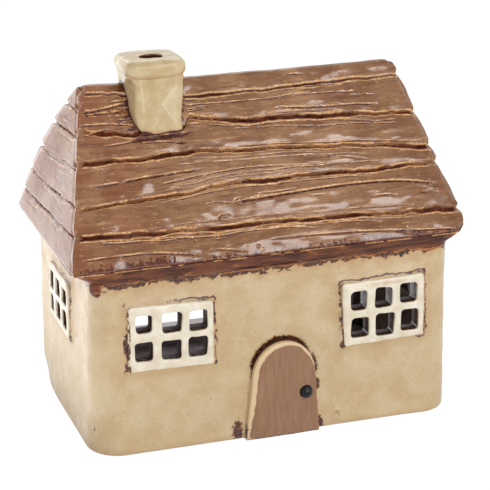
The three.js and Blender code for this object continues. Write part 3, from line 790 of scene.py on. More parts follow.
def ridge_strip(name, left, right, seed, grooves=()):
    """The folded strip over the ridge, between two places along it, None where it ends at a hip."""
    front, back = SLOPES["front"], SLOPES["back"]
    tangent = float(front.s_at(TANGENT_Z))
    sweep = 2 * math.acos(front.out[2])
    arc = RIDGE_RADIUS * sweep
    rows = int(RIDGE_STRIP_WIDTH / RIDGE_CELL) + 6
    a, t = unit_grid(int(RIDGE_STRIP_LENGTH / RIDGE_CELL), rows, 0.04)
    q = np.full(len(a), tangent + arc / 2)
    for _ in range(SETTLE_ROUNDS):
        angle = -sweep / 2 + np.clip((q - tangent) / arc, 0, 1) * sweep
        normal = np.stack([0 * q, np.sin(angle), np.cos(angle)], 1)
        before = np.clip(tangent - q, 0, None)[:, None]
        after = np.clip(q - tangent - arc, 0, None)[:, None]
        points = RIDGE_RADIUS * normal + np.array([0, 0, RIDGE_MIDDLE]) - before * front.up - after * back.up
        z = points[:, 2]
        reach = half_width("front", z)
        low_x = -reach if left is None else left
        high_x = reach if right is None else right
        x = low_x + a * (high_x - low_x)
        start = front.s_at(LINES["front"][5](x))
        end = 2 * tangent + arc - back.s_at(LINES["back"][5](-x))
        q = start + t * (end - start)
    points[:, 0] = x
    from_low, from_high = q - start, end - q
    body = -0.15 + 0.3 * noise(points, (11, 6, 6), 140 + seed) + 0.1 * noise(points, (4, 3, 3), 150 + seed)
    rise = (1 - bell(from_low, 0, 0.45)) * (1 - bell(from_high, 0, 0.45))
    bed = np.where(t < 0.5, joint_depth("front", 5, x)[0], joint_depth("back", 5, -x)[0])
    pool = np.maximum(bell(from_low, 0, 0.34), bell(from_high, 0, 0.34))
    lip = np.maximum(bell(from_low, 0.62, 0.27), bell(from_high, 0.62, 0.27))
    shape = mark((bed + (body - bed) * rise, pool, lip), rise, x, q, grooves, points)
    to_back = ramp(tangent + 0.2 * arc, tangent + 0.8 * arc, q)
    ends = []
    for side, limit, way in (("left", left, 1), ("right", right, -1)):
        if limit is None:
            distance = (way * x + reach) * END_LEAN["front"]
            ends.append((side, distance))
            hip = hip_height(("front", side), z) * (1 - to_back) + hip_height(("back", side), z) * to_back
            shape = meet_hip(shape, distance, hip, side == "left")
    height, pool, lip = shape
    above_eave = np.full(len(x), 99.0)
    surface = lift(points, normal, height, None, ends, above_eave, z)
    under = lift(points, normal, np.full(len(x), -BOARD_DEPTH), None, ends, above_eave, z)
    return close_board(name, surface, under, rows, pool, lip, folded=True)


def joint_line(points, ends, seed):
    """The level of a board joint along a slope: a little unsteady, and led to the levels of the hips."""
    points = rounded(points)

    def level_at(u):
        u = np.asarray(u, float)
        wander = 0.35 * noise_1d(u.ravel(), 7, seed) + 0.14 * noise_1d(u.ravel(), 2.2, seed + 1)
        value = np.interp(u, points[:, 0], points[:, 1]) + wander.reshape(u.shape)
        for (end, level), inwards in zip(ends, (1, -1)):
            if level is not None:
                weight = ramp(end + 6 * inwards, end + 0.5 * inwards, u)
                value = value * (1 - weight) + level * weight
        return value

    return level_at


def flat_line(level):
    return lambda u: np.full(np.shape(u), float(level))


def side_lines(side, joints):
    """A slope's eave, its board joints from points as (u, level), and the level where it ends."""
    made = [flat_line(eave_z)]
    for n, points in enumerate(joints):
        ends = []
        for other, (_, level), way in zip(NEIGHBOURS[side], (points[0], points[-1]), (-1, 1)):
            levels = HIP_JOINTS[hip_between(side, other)]
            shared = levels[n] if levels else None
            ends.append((way * float(half_width(side, shared or level)), shared))
        made.append(joint_line(points, ends, 500 + 10 * n + len(side)))
    return [*made, flat_line(RIDGE_TOP - 0.02)]


LINES = {side: side_lines(side, joints) for side, joints in {
    "front": [
        [(-72, 81.6), (-69.5, 81.1), (-44.8, 80.8), (-19.1, 80.1), (4.9, 79.8), (34.1, 79.1),
         (70, 78), (74, 78)],
        [(-70, 89), (-63.2, 89.4), (-38.8, 90.8), (-16.2, 92.2), (-7, 93), (14.3, 92.8), (70, 92.9)],
        [(-67, 102.7), (-43.4, 103), (-19.8, 103.7), (-13.5, 103), (18.6, 102), (65.6, 98.2), (68, 98.2)],
        [(-66, 112.7), (-51.5, 111.6), (-45, 109.9), (-42.3, 110.4), (-26.3, 110.4), (-24.8, 111),
         (-23.2, 114), (-21.5, 114.1), (-11.3, 112.3), (22.8, 111.2), (62.8, 109.2), (65, 109.2)],
        [(-62, 124.2), (-46.2, 123), (-21, 120.9), (-9.4, 120.2), (21.8, 121.2), (59.5, 121.8), (62, 121.8)],
    ],
    "back": [
        [(-72, 79.5), (-30, 80.6), (10, 79), (72, 78.6)],
        [(-69, 90), (-20, 91.4), (25, 89.2), (70, 87.8)],
        [(-67, 100.5), (-15, 100), (30, 101.8), (67, 97.8)],
        [(-64, 110.5), (-25, 111.8), (15, 110), (65, 108.6)],
        [(-62, 120.5), (-20, 121), (20, 121.2), (45, 121.1), (54, 119.6), (62, 118)],
    ],
    "left": [
        [(-35.4, 78.6), (-18.6, 78.4), (35.5, 81.6), (40, 82)],
        [(-29.8, 87.8), (-16.2, 86.9), (27.1, 90.4), (32, 91)],
        [(-24.2, 97.8), (0, 99.2), (16, 101), (22, 101.5)],
        [(-16.2, 108.6), (3.4, 110.5), (14, 111)],
        [(-8, 118), (0, 118.4), (8, 118.2)],
    ],
    "right": [
        [(-37, 78), (0, 80.2), (36, 79.5)],
        [(-26, 92.9), (0, 90.8), (28, 90)],
        [(-22, 98.2), (0, 101), (20, 100.5)],
        [(-14, 109.2), (0, 111.2), (13, 110.5)],
        [(-5, 121.8), (0, 121), (6, 120.5)],
    ],
}.items()}

# Grooves of the front slope: points as (u, level), a depth and a width
FRONT_GROOVES = [
    ([(-52, 95.8), (-51.3, 96.3), (-41.8, 96.9), (-30.3, 97.3), (-21.8, 97.6)], 0.55, 0.4),
    ([(-63.1, 95.8), (-58.9, 95.6), (-51.3, 96.3)], 0.45, 0.35),
    ([(-46, 109.2), (-42.1, 108.7), (-32.8, 108.9), (-21.5, 109.3)], 0.6, 0.45),
    ([(-11.5, 86.7), (13.2, 87.9), (34.3, 88.6), (52, 88.1), (65.8, 85.9)], 0.6, 0.42),
    ([(-56.3, 107.2), (-48.8, 107.6), (-43.8, 108.4)], 0.35, 0.3),
    ([(-44.2, 107), (-37, 107.3), (-28.1, 106.5)], 0.3, 0.28),
    ([(-65.3, 111.1), (-59.1, 111.6), (-52.4, 112.4)], 0.35, 0.3),
    ([(-64.8, 114.4), (-56.9, 113.9), (-49.3, 113.8)], 0.3, 0.28),
    ([(-63.8, 118), (-55.8, 118.2), (-48, 119.4), (-43.5, 119.8)], 0.6, 0.42),
    ([(-63, 117.2), (-47.5, 117.2)], 0.35, 0.3),
    ([(-20.7, 87.7), (-12.2, 86.5), (-0.5, 88.3)], 0.3, 0.28),
    ([(-3.3, 88.8), (4.4, 88.6), (12.4, 89.0)], 0.3, 0.28),
    ([(-1.6, 74.7), (9.1, 74.5), (20.5, 74.4)], 0.25, 0.28),
    ([(-45.5, 78.3), (-38.1, 78.4), (-31.3, 78.0), (-29.2, 76.8), (-28.6, 74.7)], 0.35, 0.3),
    ([(-24.7, 73.8), (-17.9, 72.9), (-11.2, 71.8)], 0.3, 0.28),
    ([(15.8, 117.7), (32, 117.6), (43.3, 117.3)], 0.25, 0.28),
    ([(39.6, 116.2), (50.9, 115.8)], 0.25, 0.28),
    ([(38.6, 84.1), (45.4, 84.2), (50.3, 83.5)], 0.28, 0.28),
    ([(56.6, 83.7), (65.7, 83.6)], 0.25, 0.25),
    ([(15.3, 86.5), (22.4, 86.2)], 0.25, 0.25),
    ([(9.4, 74.4), (20.3, 74.3), (36.8, 73.6), (53.3, 72.3), (70.2, 71.5)], 0.3, 0.28),
    ([(-71.1, 74.2), (-58, 74.6), (-46.1, 74.6), (-29, 72.4)], 0.35, 0.3),
    ([(-21, 123.2), (-14.1, 124.2)], 0.3, 0.28),
    ([(-21.9, 116.8), (-14.8, 116.7)], 0.3, 0.28),
    ([(-23, 114.9), (-19.8, 114.4)], 0.3, 0.28),
]
RIDGE_GROOVES = [([(15, 124.8), (24.5, 124.4)], 0.3, 0.28)]
# Knots in the grain, each by its u, its level, its half width and its half height
KNOTS = [(-17.0, 82.6, 2.1, 1.0), (-20.4, 77.0, 1.4, 0.8), (-10.3, 87.0, 1.9, 0.9)]


def knot_rings(x, z, wide, high):
    """A knot in the grain: an oval ring, with a dot in it."""
    angles = np.linspace(0.3, 2 * math.pi - 0.2, 12)
    ring = [(x + wide * math.cos(a), z + high * math.sin(a)) for a in angles]
    return [(ring, 0.32, 0.26), ([(x - 0.4, z), (x + 0.4, z + 0.1)], 0.35, 0.32)]


def scratches(slope, count, seed):
    """Short marks of the knife: most along the boards, some down across the lowest board."""
    draw = np.random.default_rng(seed)
    made = []
    for _ in range(count):
        z = draw.uniform(eave_z + 2, ridge_z - 5)
        reach = float(half_width(slope.side, z)) - 5
        u = draw.uniform(-reach, reach)
        long = draw.uniform(3, 13)
        s = float(slope.s_at(z))
        lean = draw.normal(0, 0.35)
        line = [(u, s), (u + long / 2, s + lean + draw.normal(0, 0.2)), (u + long, s + 2 * lean)]
        made.append((line, draw.uniform(0.08, 0.2), draw.uniform(0.2, 0.28)))
    for _ in range(count // 3):
        s = draw.uniform(1.5, 7)
        reach = float(half_width(slope.side, eave_z)) - 6
        u = draw.uniform(-reach, reach)
        line = [(u, s), (u + draw.normal(0, 0.25), s + draw.uniform(1.2, 3.2))]
        made.append((line, draw.uniform(0.12, 0.24), draw.uniform(0.2, 0.26)))
    return made


def grain_lines(slope, each, seed):
    """Thin lines beside the joints, as long as the stroke of a modelling tool."""
    draw = np.random.default_rng(seed)
    made = []
    for line in LINES[slope.side][1:6]:
        for _ in range(each):
            offset = draw.choice([-1, 1]) * draw.uniform(1.1, 4.2)
            reach = float(half_width(slope.side, float(line(0.0)) + offset)) - 3
            long = draw.uniform(0.15, 0.75) * reach * 2
            start = draw.uniform(-reach, reach - long)
            u = np.linspace(start, start + long, max(3, int(long / 7)))
            z = line(u) + offset * (1 + 0.25 * noise_1d(u, 23, int(draw.integers(1000))))
            z = np.clip(z, eave_z + 1.6, ridge_z - 2)
            made.append((list(zip(u, slope.s_at(z))), draw.uniform(0.12, 0.34), draw.uniform(0.2, 0.3)))
    return made


def stack_marks(seed):
    """Short lines that run out from both sides of the chimney, left by the tool that pressed it on."""
    draw = np.random.default_rng(seed)
    made = []
    for edge, way in ((stack_low[0] - 0.3, -1), (stack_high[0] + 0.1, 1)):
        for z in np.arange(111.8, 125.6, 1.15):
            start = edge + way * draw.uniform(0, 0.8)
            far = start + way * draw.uniform(4, 12)
            low, high = z + draw.normal(0, 0.2), z + draw.normal(0, 0.45)
            middle = ((start + far) / 2, (low + high) / 2 + draw.normal(0, 0.25))
            line = sorted([(start, low), middle, (far, high)])
            made.append((line, draw.uniform(0.2, 0.4), draw.uniform(0.2, 0.28)))
    return made


def on_front(grooves):
    """Turns the levels of grooves into places up the front slope."""
    s_at = SLOPES["front"].s_at
    return [([(u, float(s_at(z))) for u, z in line], deep, width) for line, deep, width in grooves]


STACK_LEAN = 0.1  # how far the stack's right side draws in towards its foot
INTO_STACK = 0.35  # the boards run this far into the stack, as clay pressed on clay does
left_of_stack = stack_low[0] + INTO_STACK
right_of_stack = stack_high[0] - STACK_LEAN - INTO_STACK
painted = on_front(FRONT_GROOVES + stack_marks(31) + [ring for knot in KNOTS for ring in knot_rings(*knot)])

# For each slope: the cell of its mesh, then its grain lines to a joint and its scratches, each with a seed
SURFACES = {
    "front": ((0.6, 0.25), (4, 21), (30, 11)),
    "back": ((1.0, 0.42), (5, 22), (40, 12)),
    "left": ((0.6, 0.3), (2, 23), (14, 13)),
    "right": ((1.0, 0.42), (3, 24), (16, 14)),
}
for side, (cell, grain, marks) in SURFACES.items():
    slope = SLOPES[side]
    grooves = (painted if side == "front" else []) + grain_lines(slope, *grain) + scratches(slope, *marks)
    boards = [(f"{side}_board_{n + 1}", n, {}) for n in range(5 if side in LONG_SIDES else 6)]
    if side == "front":
        boards[4:] = [("front_board_5_left", 4, {"right": left_of_stack}),
                      ("front_board_5_right", 4, {"left": right_of_stack})]
    for node, n, limits in boards:
        place(board_mesh(node + "_clay", side, n, LINES[side], cell, grooves, **limits), "roof_glaze", node)

place(ridge_strip("ridge_cap_left_clay", None, left_of_stack, 1), "roof_glaze", "ridge_cap_left")
strip = ridge_strip("ridge_cap_right_clay", right_of_stack, None, 2, on_front(RIDGE_GROOVES))
place(strip, "roof_glaze", "ridge_cap_right")

# The slabs under the boards and the floor keep the CAD's shape, since they show only inside and from below
for node, material in [(f"roof_{side}_slab", INNER) for side in SLOPES] + [("base_slab", CLAY)]:
    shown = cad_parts[node]
    shown.data.materials.clear()
    shown.data.materials.append(material)

# Walls

FOOT_ROUNDING = 1.5
CORNER_POINTS = 11  # along each half corner
OUTER_SKIN = 0.6  # points less deep than this are on the outside of a wall
INNER_FROM = 0.9  # faces deeper than this have the glaze of the inside
PANE_CORNER = 1.15
SEAT_SHARE = 0.965  # of a window panel's size
TOOL_OVERHANG = 3  # how far the tools stand out of the walls


def ring_sizes(z):
    """Half width, half depth and corner radius of the outside of the house at a level."""
    lean = 1 - np.asarray(z, float) / wall_top
    return (TOP_HALF_X + FOOT_SPREAD_X * lean, TOP_HALF_Y + FOOT_SPREAD_Y * lean,
            TOP_CORNER + (FOOT_CORNER - TOP_CORNER) * lean)


def wall_depth(points):
    """How far points lie inside the outside face of the walls."""
    half_x, half_y, radius = ring_sizes(np.clip(points[:, 2], 0, wall_top))
    dx = np.abs(points[:, 0]) - (half_x - radius)
    dy = np.abs(points[:, 1]) - (half_y - radius)
    corner = np.hypot(np.clip(dx, 0, None), np.clip(dy, 0, None)) + np.minimum(np.maximum(dx, dy), 0)
    return radius - corner


def wall_piece(name, facing, cell):
    """One wall between the corner joints: outside face, round foot, underside, inside and top."""
    foot_z = FOOT_ROUNDING * (1 - np.sin(np.linspace(np.pi / 2, 0, 5)))
    foot_in = FOOT_ROUNDING - np.sqrt(np.clip(FOOT_ROUNDING**2 - (FOOT_ROUNDING - foot_z) ** 2, 0, None))
    rise = np.linspace(FOOT_ROUNDING, wall_top, int((wall_top - FOOT_ROUNDING) / cell))[1:]
    profile = [*zip(foot_z, foot_in), *((z, 0.0) for z in rise)]
    profile += [(z, WALL_THICKNESS) for z in np.linspace(wall_top, 0, 9)]
    along_index = 0 if facing[0] == 0 else 1
    middle_sizes = ring_sizes(wall_top / 2)
    straight = int(2 * (middle_sizes[along_index] - middle_sizes[2]) / cell)
    turn = np.linspace(-np.pi / 4, 0, CORNER_POINTS + 1)[:-1]
    rows = []
    for z, inset in profile:
        sizes = ring_sizes(z)
        radius = sizes[2]
        end, face = sizes[along_index] - radius, sizes[1 - along_index] - radius
        bend_u, bend_v = (radius - inset) * np.sin(turn), face + (radius - inset) * np.cos(turn)
        u = np.concatenate([-end + bend_u, np.linspace(-end, end, straight), end - bend_u[::-1]])
        v = np.concatenate([bend_v, np.full(straight, sizes[1 - along_index] - inset), bend_v[::-1]])
        rows.append(np.stack([u, v, np.full(len(u), z)], 1))
    axes = np.array([[-facing[1], facing[0], 0], [facing[0], facing[1], 0], [0, 0, 1.0]])
    grid = np.arange(len(rows) * len(u)).reshape(len(rows), -1)
    faces = quads(np.vstack([grid, grid[:1]])) + [grid[:, 0].tolist(), grid[::-1, -1].tolist()]
    return make_piece(name, np.vstack(rows) @ axes, faces, WALL)


def cut_out(piece, tools):
    """Takes the tools out of the piece."""
    for tool in tools:
        cut = piece.modifiers.new("cut", "BOOLEAN")
        cut.operation = "DIFFERENCE"
        cut.solver = "EXACT"
        cut.object = tool
    apply_modifiers(piece)
    for tool in tools:
        bpy.data.objects.remove(tool)


def wobble(outline, amount, seed):
    outline = np.array(outline)
    spots = np.column_stack([outline, np.zeros(len(outline))])
    return outline + amount * np.stack([noise(spots, 3, seed), noise(spots, 3, seed + 5)], 1)


def pane_outline(pane, grow=0.0):
    low_x, high_x, low_z, high_z = np.array(pane) + grow * np.array([-1, 1, -1, 1])
    corners = [(low_x, low_z), (high_x, low_z), (high_x, high_z), (low_x, high_z)]
    return round_outline(corners, PANE_CORNER)


def turned(piece, facing):
    """Turns a body drawn for the front wall to face another way."""
    angle = math.atan2(facing[0], -facing[1])
    c, s = math.cos(angle), math.sin(angle)
    x, y, z = points_of(piece.data).T
    set_points(piece.data, np.stack([c * x - s * y, s * x + c * y, z], 1))
    return piece


# The windows, drawn as for the front wall: rim corners, and panes as (low x, high x, low z, high z)
FRONT_WINDOWS = {
    "left": {
        "rim": [(-56.4, 32.3), (-24.4, 32.0), (-24.6, 56.4), (-56.2, 56.8)],
        "panes": [(-53.5, -47.4, 47.0, 53.7), (-43.8, -36.5, 46.0, 53.5), (-33.7, -26.9, 45.6, 53.3),
                  (-53.7, -47.2, 36.4, 43.2), (-44.2, -36.8, 35.7, 43.0), (-34.0, -27.0, 35.6, 43.1)],
    },
    "right": {
        "rim": [(25.5, 31.4), (57.2, 32.2), (56.5, 56.7), (24.2, 55.7)],
        "panes": [(27.6, 33.9, 45.2, 52.7), (37.2, 43.9, 45.3, 53.0), (47.1, 53.6, 45.8, 53.5),
                  (28.0, 35.0, 34.6, 42.2), (37.8, 45.0, 34.1, 42.8), (47.6, 54.6, 34.8, 43.1)],
    },
}
PANE_STEP_X = 9.2
PANE_STEP_Z = 9.3

WINDOWS = {}
for side, drawn in FRONT_WINDOWS.items():
    low, high = box_mm(f"front_{side}_window")
    WINDOWS[f"front_{side}_window"] = {**drawn, "wall": "front", "worn": side == "right", "back": high[1],
                                       "front": low[1], "voxel": 0.36, "smoothing": 11}
for side, shift in (("left", 2.0), ("right", 0)):
    low, high = box_mm(f"{side}_side_window")
    middle = (low[1] + high[1]) / 2 * FACINGS[side][0] - shift
    bottom, top = low[2], high[2]
    half_wide = (high[1] - low[1]) / 2
    panes = []
    for row in range(2):
        for column in range(3):
            x = middle + (column - 1) * PANE_STEP_X + 0.25 * (row - 0.5)
            z = (bottom + top) / 2 + (row - 0.5) * PANE_STEP_Z
            panes.append((x - 3.2 - 0.2 * column, x + 3.1, z - 3.4, z + 3.5 - 0.2 * row))
    near, far = sorted((abs(low[0]), abs(high[0])))
    rim = [(middle - half_wide, bottom), (middle + half_wide, bottom + 0.2),
           (middle + half_wide - 0.3, top), (middle - half_wide + 0.2, top - 0.3)]
    WINDOWS[f"{side}_side_window"] = {"rim": rim, "panes": panes, "wall": side, "worn": False, "back": -near,
                                      "front": -far, "voxel": 0.45, "smoothing": 8}


def window_tools(spec):
    """What a window takes out of its wall: a seat a little smaller than the panel, and its panes."""
    centre = np.mean(spec["rim"], axis=0)
    seat = round_outline(centre + (np.array(spec["rim"]) - centre) * SEAT_SHARE, 0.8)
    # Behind the panel the wall's holes are wider than the panes, so that little of the wall shows in them
    holes = [(seat, 0.1)] + [(pane_outline(pane, 0.4), 9) for pane in spec["panes"]]
    made = []
    for outline, deep in holes:
        tool = outline_prism([outline], spec["back"] + deep, spec["front"] - TOOL_OVERHANG)
        made.append(turned(tool, FACINGS[spec["wall"]]))
    return made


door_low, door_high = box_mm("door_panel")
DOOR_MIDDLE = (door_low[0] + door_high[0]) / 2
DOOR_SPRING = 23.0  # the level at which its sides turn into the arch
DOOR_ARCH_RISE = 14.0
DOOR_ARCH_HALF = 12.2
DOOR_FOOT_LEFT, DOOR_FOOT_RIGHT = 14.4, 14.3  # how far the foot reaches from the middle


def door_outline(grow=0.0, below=0.0):
    """The door's outline: left side a little crooked, and a low round arch."""
    arch = []
    for angle in np.linspace(0, np.pi, 22):
        crooked = 0.35 * math.sin(angle) * math.cos(angle)
        x = DOOR_MIDDLE + 0.3 + (DOOR_ARCH_HALF + grow) * math.cos(angle) - crooked
        arch.append((x, DOOR_SPRING + (DOOR_ARCH_RISE + grow) * math.sin(angle) ** 0.92))
    foot = [(DOOR_MIDDLE - DOOR_FOOT_LEFT - grow, -below), (DOOR_MIDDLE + DOOR_FOOT_RIGHT + grow, -below)]
    return foot + arch


# The mouth is a low arch over a level sill with round corners
MOUTH_HALF = 40
MOUTH_RISE = 26
MOUTH_SPRING = 26
MOUTH_SILL = 13
MOUTH_CORNER = 8
mouth = []
for angle in np.linspace(0, math.pi, 36):
    mouth.append((MOUTH_HALF * math.cos(angle), MOUTH_SPRING + MOUTH_RISE * math.sin(angle)))
for way, start in ((-1, math.pi), (1, 1.5 * math.pi)):
    middle_x, middle_z = (MOUTH_HALF - MOUTH_CORNER) * way, MOUTH_SILL + MOUTH_CORNER
    for angle in np.linspace(start, start + math.pi / 2, 12):
        mouth.append((middle_x + MOUTH_CORNER * math.cos(angle), middle_z + MOUTH_CORNER * math.sin(angle)))

tools_for = {side: [] for side in FACINGS}
for spec in WINDOWS.values():
    tools_for[spec["wall"]] += window_tools(spec)
door_seat = door_outline(-0.4, TOOL_OVERHANG)
tools_for["front"].append(outline_prism([door_seat], door_high[1] + 0.1, door_low[1] - TOOL_OVERHANG))
tools_for["back"].append(outline_prism([mouth], 30, 60))


def edge_distance(points, corners):
    """How far points are from an outline in X and Z."""
    corners = np.array(corners)
    p = points[:, [0, 2]]
    best = np.full(len(p), 1e9)
    for a, b in zip(corners, np.roll(corners, -1, axis=0)):
        t = np.clip(((p - a) @ (b - a)) / ((b - a) @ (b - a)), 0, 1)
        best = np.minimum(best, np.linalg.norm(p - (a + t[:, None] * (b - a)), axis=1))
    return best


def near_outline(points, corners, spread):
    """Falls from 1 at an outline in X and Z to 0 a spread away."""
    return np.clip(1 - edge_distance(points, corners) / spread, 0, 1)


DIMPLE = (23.1, 5.0)  # a nick in the wall to the right of the door


def outward(points):
    """The level direction that points out of the walls."""
    step = np.array([[0.05, 0, 0], [0, 0.05, 0]])
    slope = -np.stack([wall_depth(points + move) - wall_depth(points - move) for move in step], 1)
    size = np.linalg.norm(slope, axis=1)[:, None]
    return np.column_stack([slope / np.maximum(size, 1e-9), np.zeros(len(points))])


def corner_shift(x, y, z):
    """How far the foot of the house is pushed out at its front right and tucked in at its back left."""
    front_right = np.exp(-((x - 66) ** 2 + (y + 41) ** 2) / 90) * ramp(52, 0, z)
    back_left = np.exp(-((x + 69) ** 2 + (y - 43) ** 2) / 260) * ramp(17, 0, z) ** 1.6
    return front_right - 2.6 * back_left


def crack_weight(spec, local):
    """Where the glaze is cracked round a window: along its top, and down its sides."""
    x, _, z = local.T
    (low_x, low_z), (high_x, high_z) = np.min(spec["rim"], axis=0), np.max(spec["rim"], axis=0)
    over = ramp(high_z - 2.5, high_z - 0.5, z) * (1.15 if spec["worn"] else 0.9 * ramp(low_x, high_x, x))
    off_side = np.abs(x - (low_x + high_x) / 2) - (high_x - low_x) / 2
    beside = ramp(0.5, -0.5, off_side - 2) * ramp(-0.5, 0.5, off_side) * ramp(low_z, low_z + 5, z)
    return np.maximum(over, beside * (0.55 if spec["worn"] else 0.3))


for side, cell in (("front", 0.7), ("back", 1.1), ("left", 0.8), ("right", 1.1)):
    facing = FACINGS[side]
    piece = wall_piece(f"{side}_wall_clay", facing, cell)
    cut_out(piece, tools_for[side])
    mesh = piece.data
    centres = np.array([p.center for p in mesh.polygons]) / MM
    inside = (wall_depth(centres) > INNER_FROM) & (centres[:, 2] > 0.01)
    mesh.materials.clear()
    mesh.materials.append(WALL)
    # Painted light: the insides of the front and back walls take the pale copy of the inside glaze, the side
    # walls the darker one
    mesh.materials.append(INNER_PAINTED_LIGHT if side in LONG_SIDES else INNER)
    mesh.polygons.foreach_set("material_index", inside.astype(np.int32))
    points = points_of(mesh)
    x, y, z = points.T
    depth = wall_depth(points)
    outer = depth < OUTER_SKIN
    local = points @ np.array([[-facing[1], -facing[0], 0], [facing[0], -facing[1], 0], [0, 0, 1.0]])
    pool, warm, cracked = np.zeros((3, len(points)))
    gap = np.full(len(points), 9.0)
    swell = 0.3 * noise(points, 17, 300) + 0.14 * noise(points, 6, 301) + 0.06 * noise(points, 2.4, 302)
    for spec in WINDOWS.values():
        if spec["wall"] != side:
            continue
        swell += 1.1 * near_outline(local, spec["rim"], 4.5) ** 2 * (1 + 0.3 * noise(local, 3, 213))
        rim = near_outline(local, spec["rim"], 2.4) + 0.3 * noise(local, (0.9, 9, 1.3), 209)
        broken = ramp(-0.35, 0.35, noise(local, (2.5, 9, 6), 210) + 0.5 * noise(local, (1.2, 9, 2), 211))
        sides = np.minimum(np.abs(local[:, 0] - np.mean(spec["rim"], axis=0)[0]) / 16.0, 1) ** 6
        stained = 0.32 if spec["worn"] else 0.2
        pool = np.maximum(pool, ramp(0.25, 0.8, rim) * (0.2 + sides * (stained + 0.55 * broken)))
        warm = np.maximum(warm, near_outline(local, spec["rim"], 5) * 0.5)
        distance = edge_distance(local, spec["rim"])
        cracked = np.maximum(cracked, crack_weight(spec, local) * (distance < 6))
        gap = np.minimum(gap, distance)
    if side == "left":
        # A crease beside the front corner
        crease = bell(y + 0.3 * noise_1d(z, 4, 71), -37.5, 0.6) * (ramp(2, 5, z) * ramp(20, 11, z))
        swell -= 0.35 * crease
        pool = np.maximum(pool, crease * (0.45 + 0.55 * ramp(-0.4, 0.5, noise_1d(z, 1.6, 72))))
    if side == "front":
        # The groove over the door's arch, the glaze that ran down its right, a stain at its left and the nick
        at_door = near_outline(points, door_outline()[1:], 3.8) ** 1.5
        grit = 0.5 * noise(points, (1.1, 3, 1.1), 330) + 0.35 * noise(points, (0.5, 2, 0.5), 331)
        over_arch = ramp(24, 33, z + 2 * noise(points, 2.5, 333)) ** 0.7 * ramp(14.5, 9, x)
        run = ramp(12, 14.5, x) * ramp(-0.5, 0.6, noise_1d(z, 2.4, 332))
        swell -= 0.7 * ramp(0.3, 0.9, at_door) * over_arch
        stain = np.maximum(np.maximum(1.15 * over_arch, 1.5 * run), 0.45)
        pool = np.maximum(pool, at_door * stain + 0.45 * grit * (at_door > 0.05))
        low_left = blot(x, z, (-15.6, 4.0), (2.4, 5.0))
        pool = np.maximum(pool, low_left + 0.5 * grit * (low_left > 0.2))
        away = np.hypot(x - DIMPLE[0], z - DIMPLE[1])
        swell += 0.35 * bell(away, 1.7, 0.7) - 0.9 * bell(away, 0, 0.8)
        warm = np.maximum(warm, 0.8 * bell(away, 0, 1.1))
    fringe = z + 1.1 * noise(points, (2.2, 2.2, 1.5), 320) + 0.7 * noise(points, (0.9, 0.9, 0.9), 321)
    pool = np.maximum(pool, 0.85 * ramp(wall_top - 2.9, wall_top - 1.4, fringe))
    warm = np.maximum(warm, 0.9 * ramp(wall_top - 5.5, wall_top - 1.6, fringe))
    warm = np.maximum(warm, 0.5 * ramp(3.5, 0.5, z))
    upright = outer & (vertex_values(mesh, "normal")[:, 2] ** 2 < 0.9)
    calm = ramp(0, 3, z) * ramp(wall_top, wall_top - 2, z)
    move = np.where(outer, swell * calm, 0) + corner_shift(x, y, z) * ramp(4.5, 2, depth)
    set_points(mesh, points + outward(points) * move[:, None])
    set_layers(mesh, pool=np.where(upright, pool, ramp(4.8, 3.5, depth)), warm=np.where(outer, warm, 0),
               gap=gap, crack=np.where(outer, cracked, 0))
    shade_smooth(mesh, 35)
    place(piece, "wall_glaze", f"{side}_wall")

# Window panels

for node, spec in WINDOWS.items():
    front, back = spec["front"], spec["back"]
    rim = wobble(round_outline(spec["rim"], 1.6), 0.25, 17)
    holes = [wobble(pane_outline(pane), 0.25, 29 + i) for i, pane in enumerate(spec["panes"])]
    piece = outline_prism([rim, *holes], back, front, node + "_clay")
    soften(piece, spec["voxel"], spec["smoothing"], WINDOW)
    mesh = piece.data
    points = points_of(mesh)
    x, y, z = points.T
    y += 0.55 * near_outline(points, spec["rim"], 3.5) ** 2 * ramp(back - 1, back - 2.6, y)
    y += ramp(back - 1.4, back - 2.4, y) * (0.2 * noise(points, 7, 230) + 0.08 * noise(points, 2.5, 231))
    x += 0.12 * noise(points, 4, 232)
    z += 0.12 * noise(points, 4, 233)
    set_points(mesh, points)
    low, high = points.min(0), points.max(0)
    jamb = np.zeros(len(points))
    for low_x, high_x, low_z, high_z in spec["panes"]:
        inside_x = ramp(low_x - 1.0, low_x + 0.2, x) * ramp(high_x + 1.0, high_x - 0.2, x)
        inside_z = ramp(low_z - 1.0, low_z + 0.2, z) * ramp(high_z + 1.0, high_z - 0.2, z)
        jamb = np.maximum(jamb, inside_x * inside_z)
    edge = np.maximum(ramp(low[0] + 1.2, low[0] + 0.1, x), ramp(high[0] - 1.2, high[0] - 0.1, x))
    spots = ramp(-0.2, 0.5, noise(points, (1.2, 3, 2.4), 240) + 0.5 * noise(points, (0.7, 2, 0.9), 242))
    top = ramp(high[2] - 1.0, high[2] - 0.1, z) * ramp(-0.3, 0.4, noise(points, (5, 3, 2), 241))
    sunk = ramp(front + 0.5, front + 2.0, y)
    pool = np.maximum(edge * (0.35 + 0.65 * spots) * np.maximum(sunk, 0.55), top * np.maximum(sunk, 0.35))
    pool = np.maximum(pool, jamb * ramp(front + 0.35, front + 1.3, y) * 1.2)
    warm = np.maximum(0.5 * edge, 0.9 * jamb * ramp(front + 0.3, front + 1.5, y))
    if node == "front_right_window":
        warm = np.maximum(warm, 0.8 * blot(x, z, (42, 54.8), (7, 0.7)))
    if node == "front_left_window":
        pool = np.maximum(pool, ramp(low[0] + 1.4, low[0] + 0.4, x) * (0.3 + 0.7 * spots))
    set_layers(mesh, pool=pool, warm=warm)
    turned(piece, FACINGS[spec["wall"]])
    place(piece, "window_glaze", node)

# Door and knob

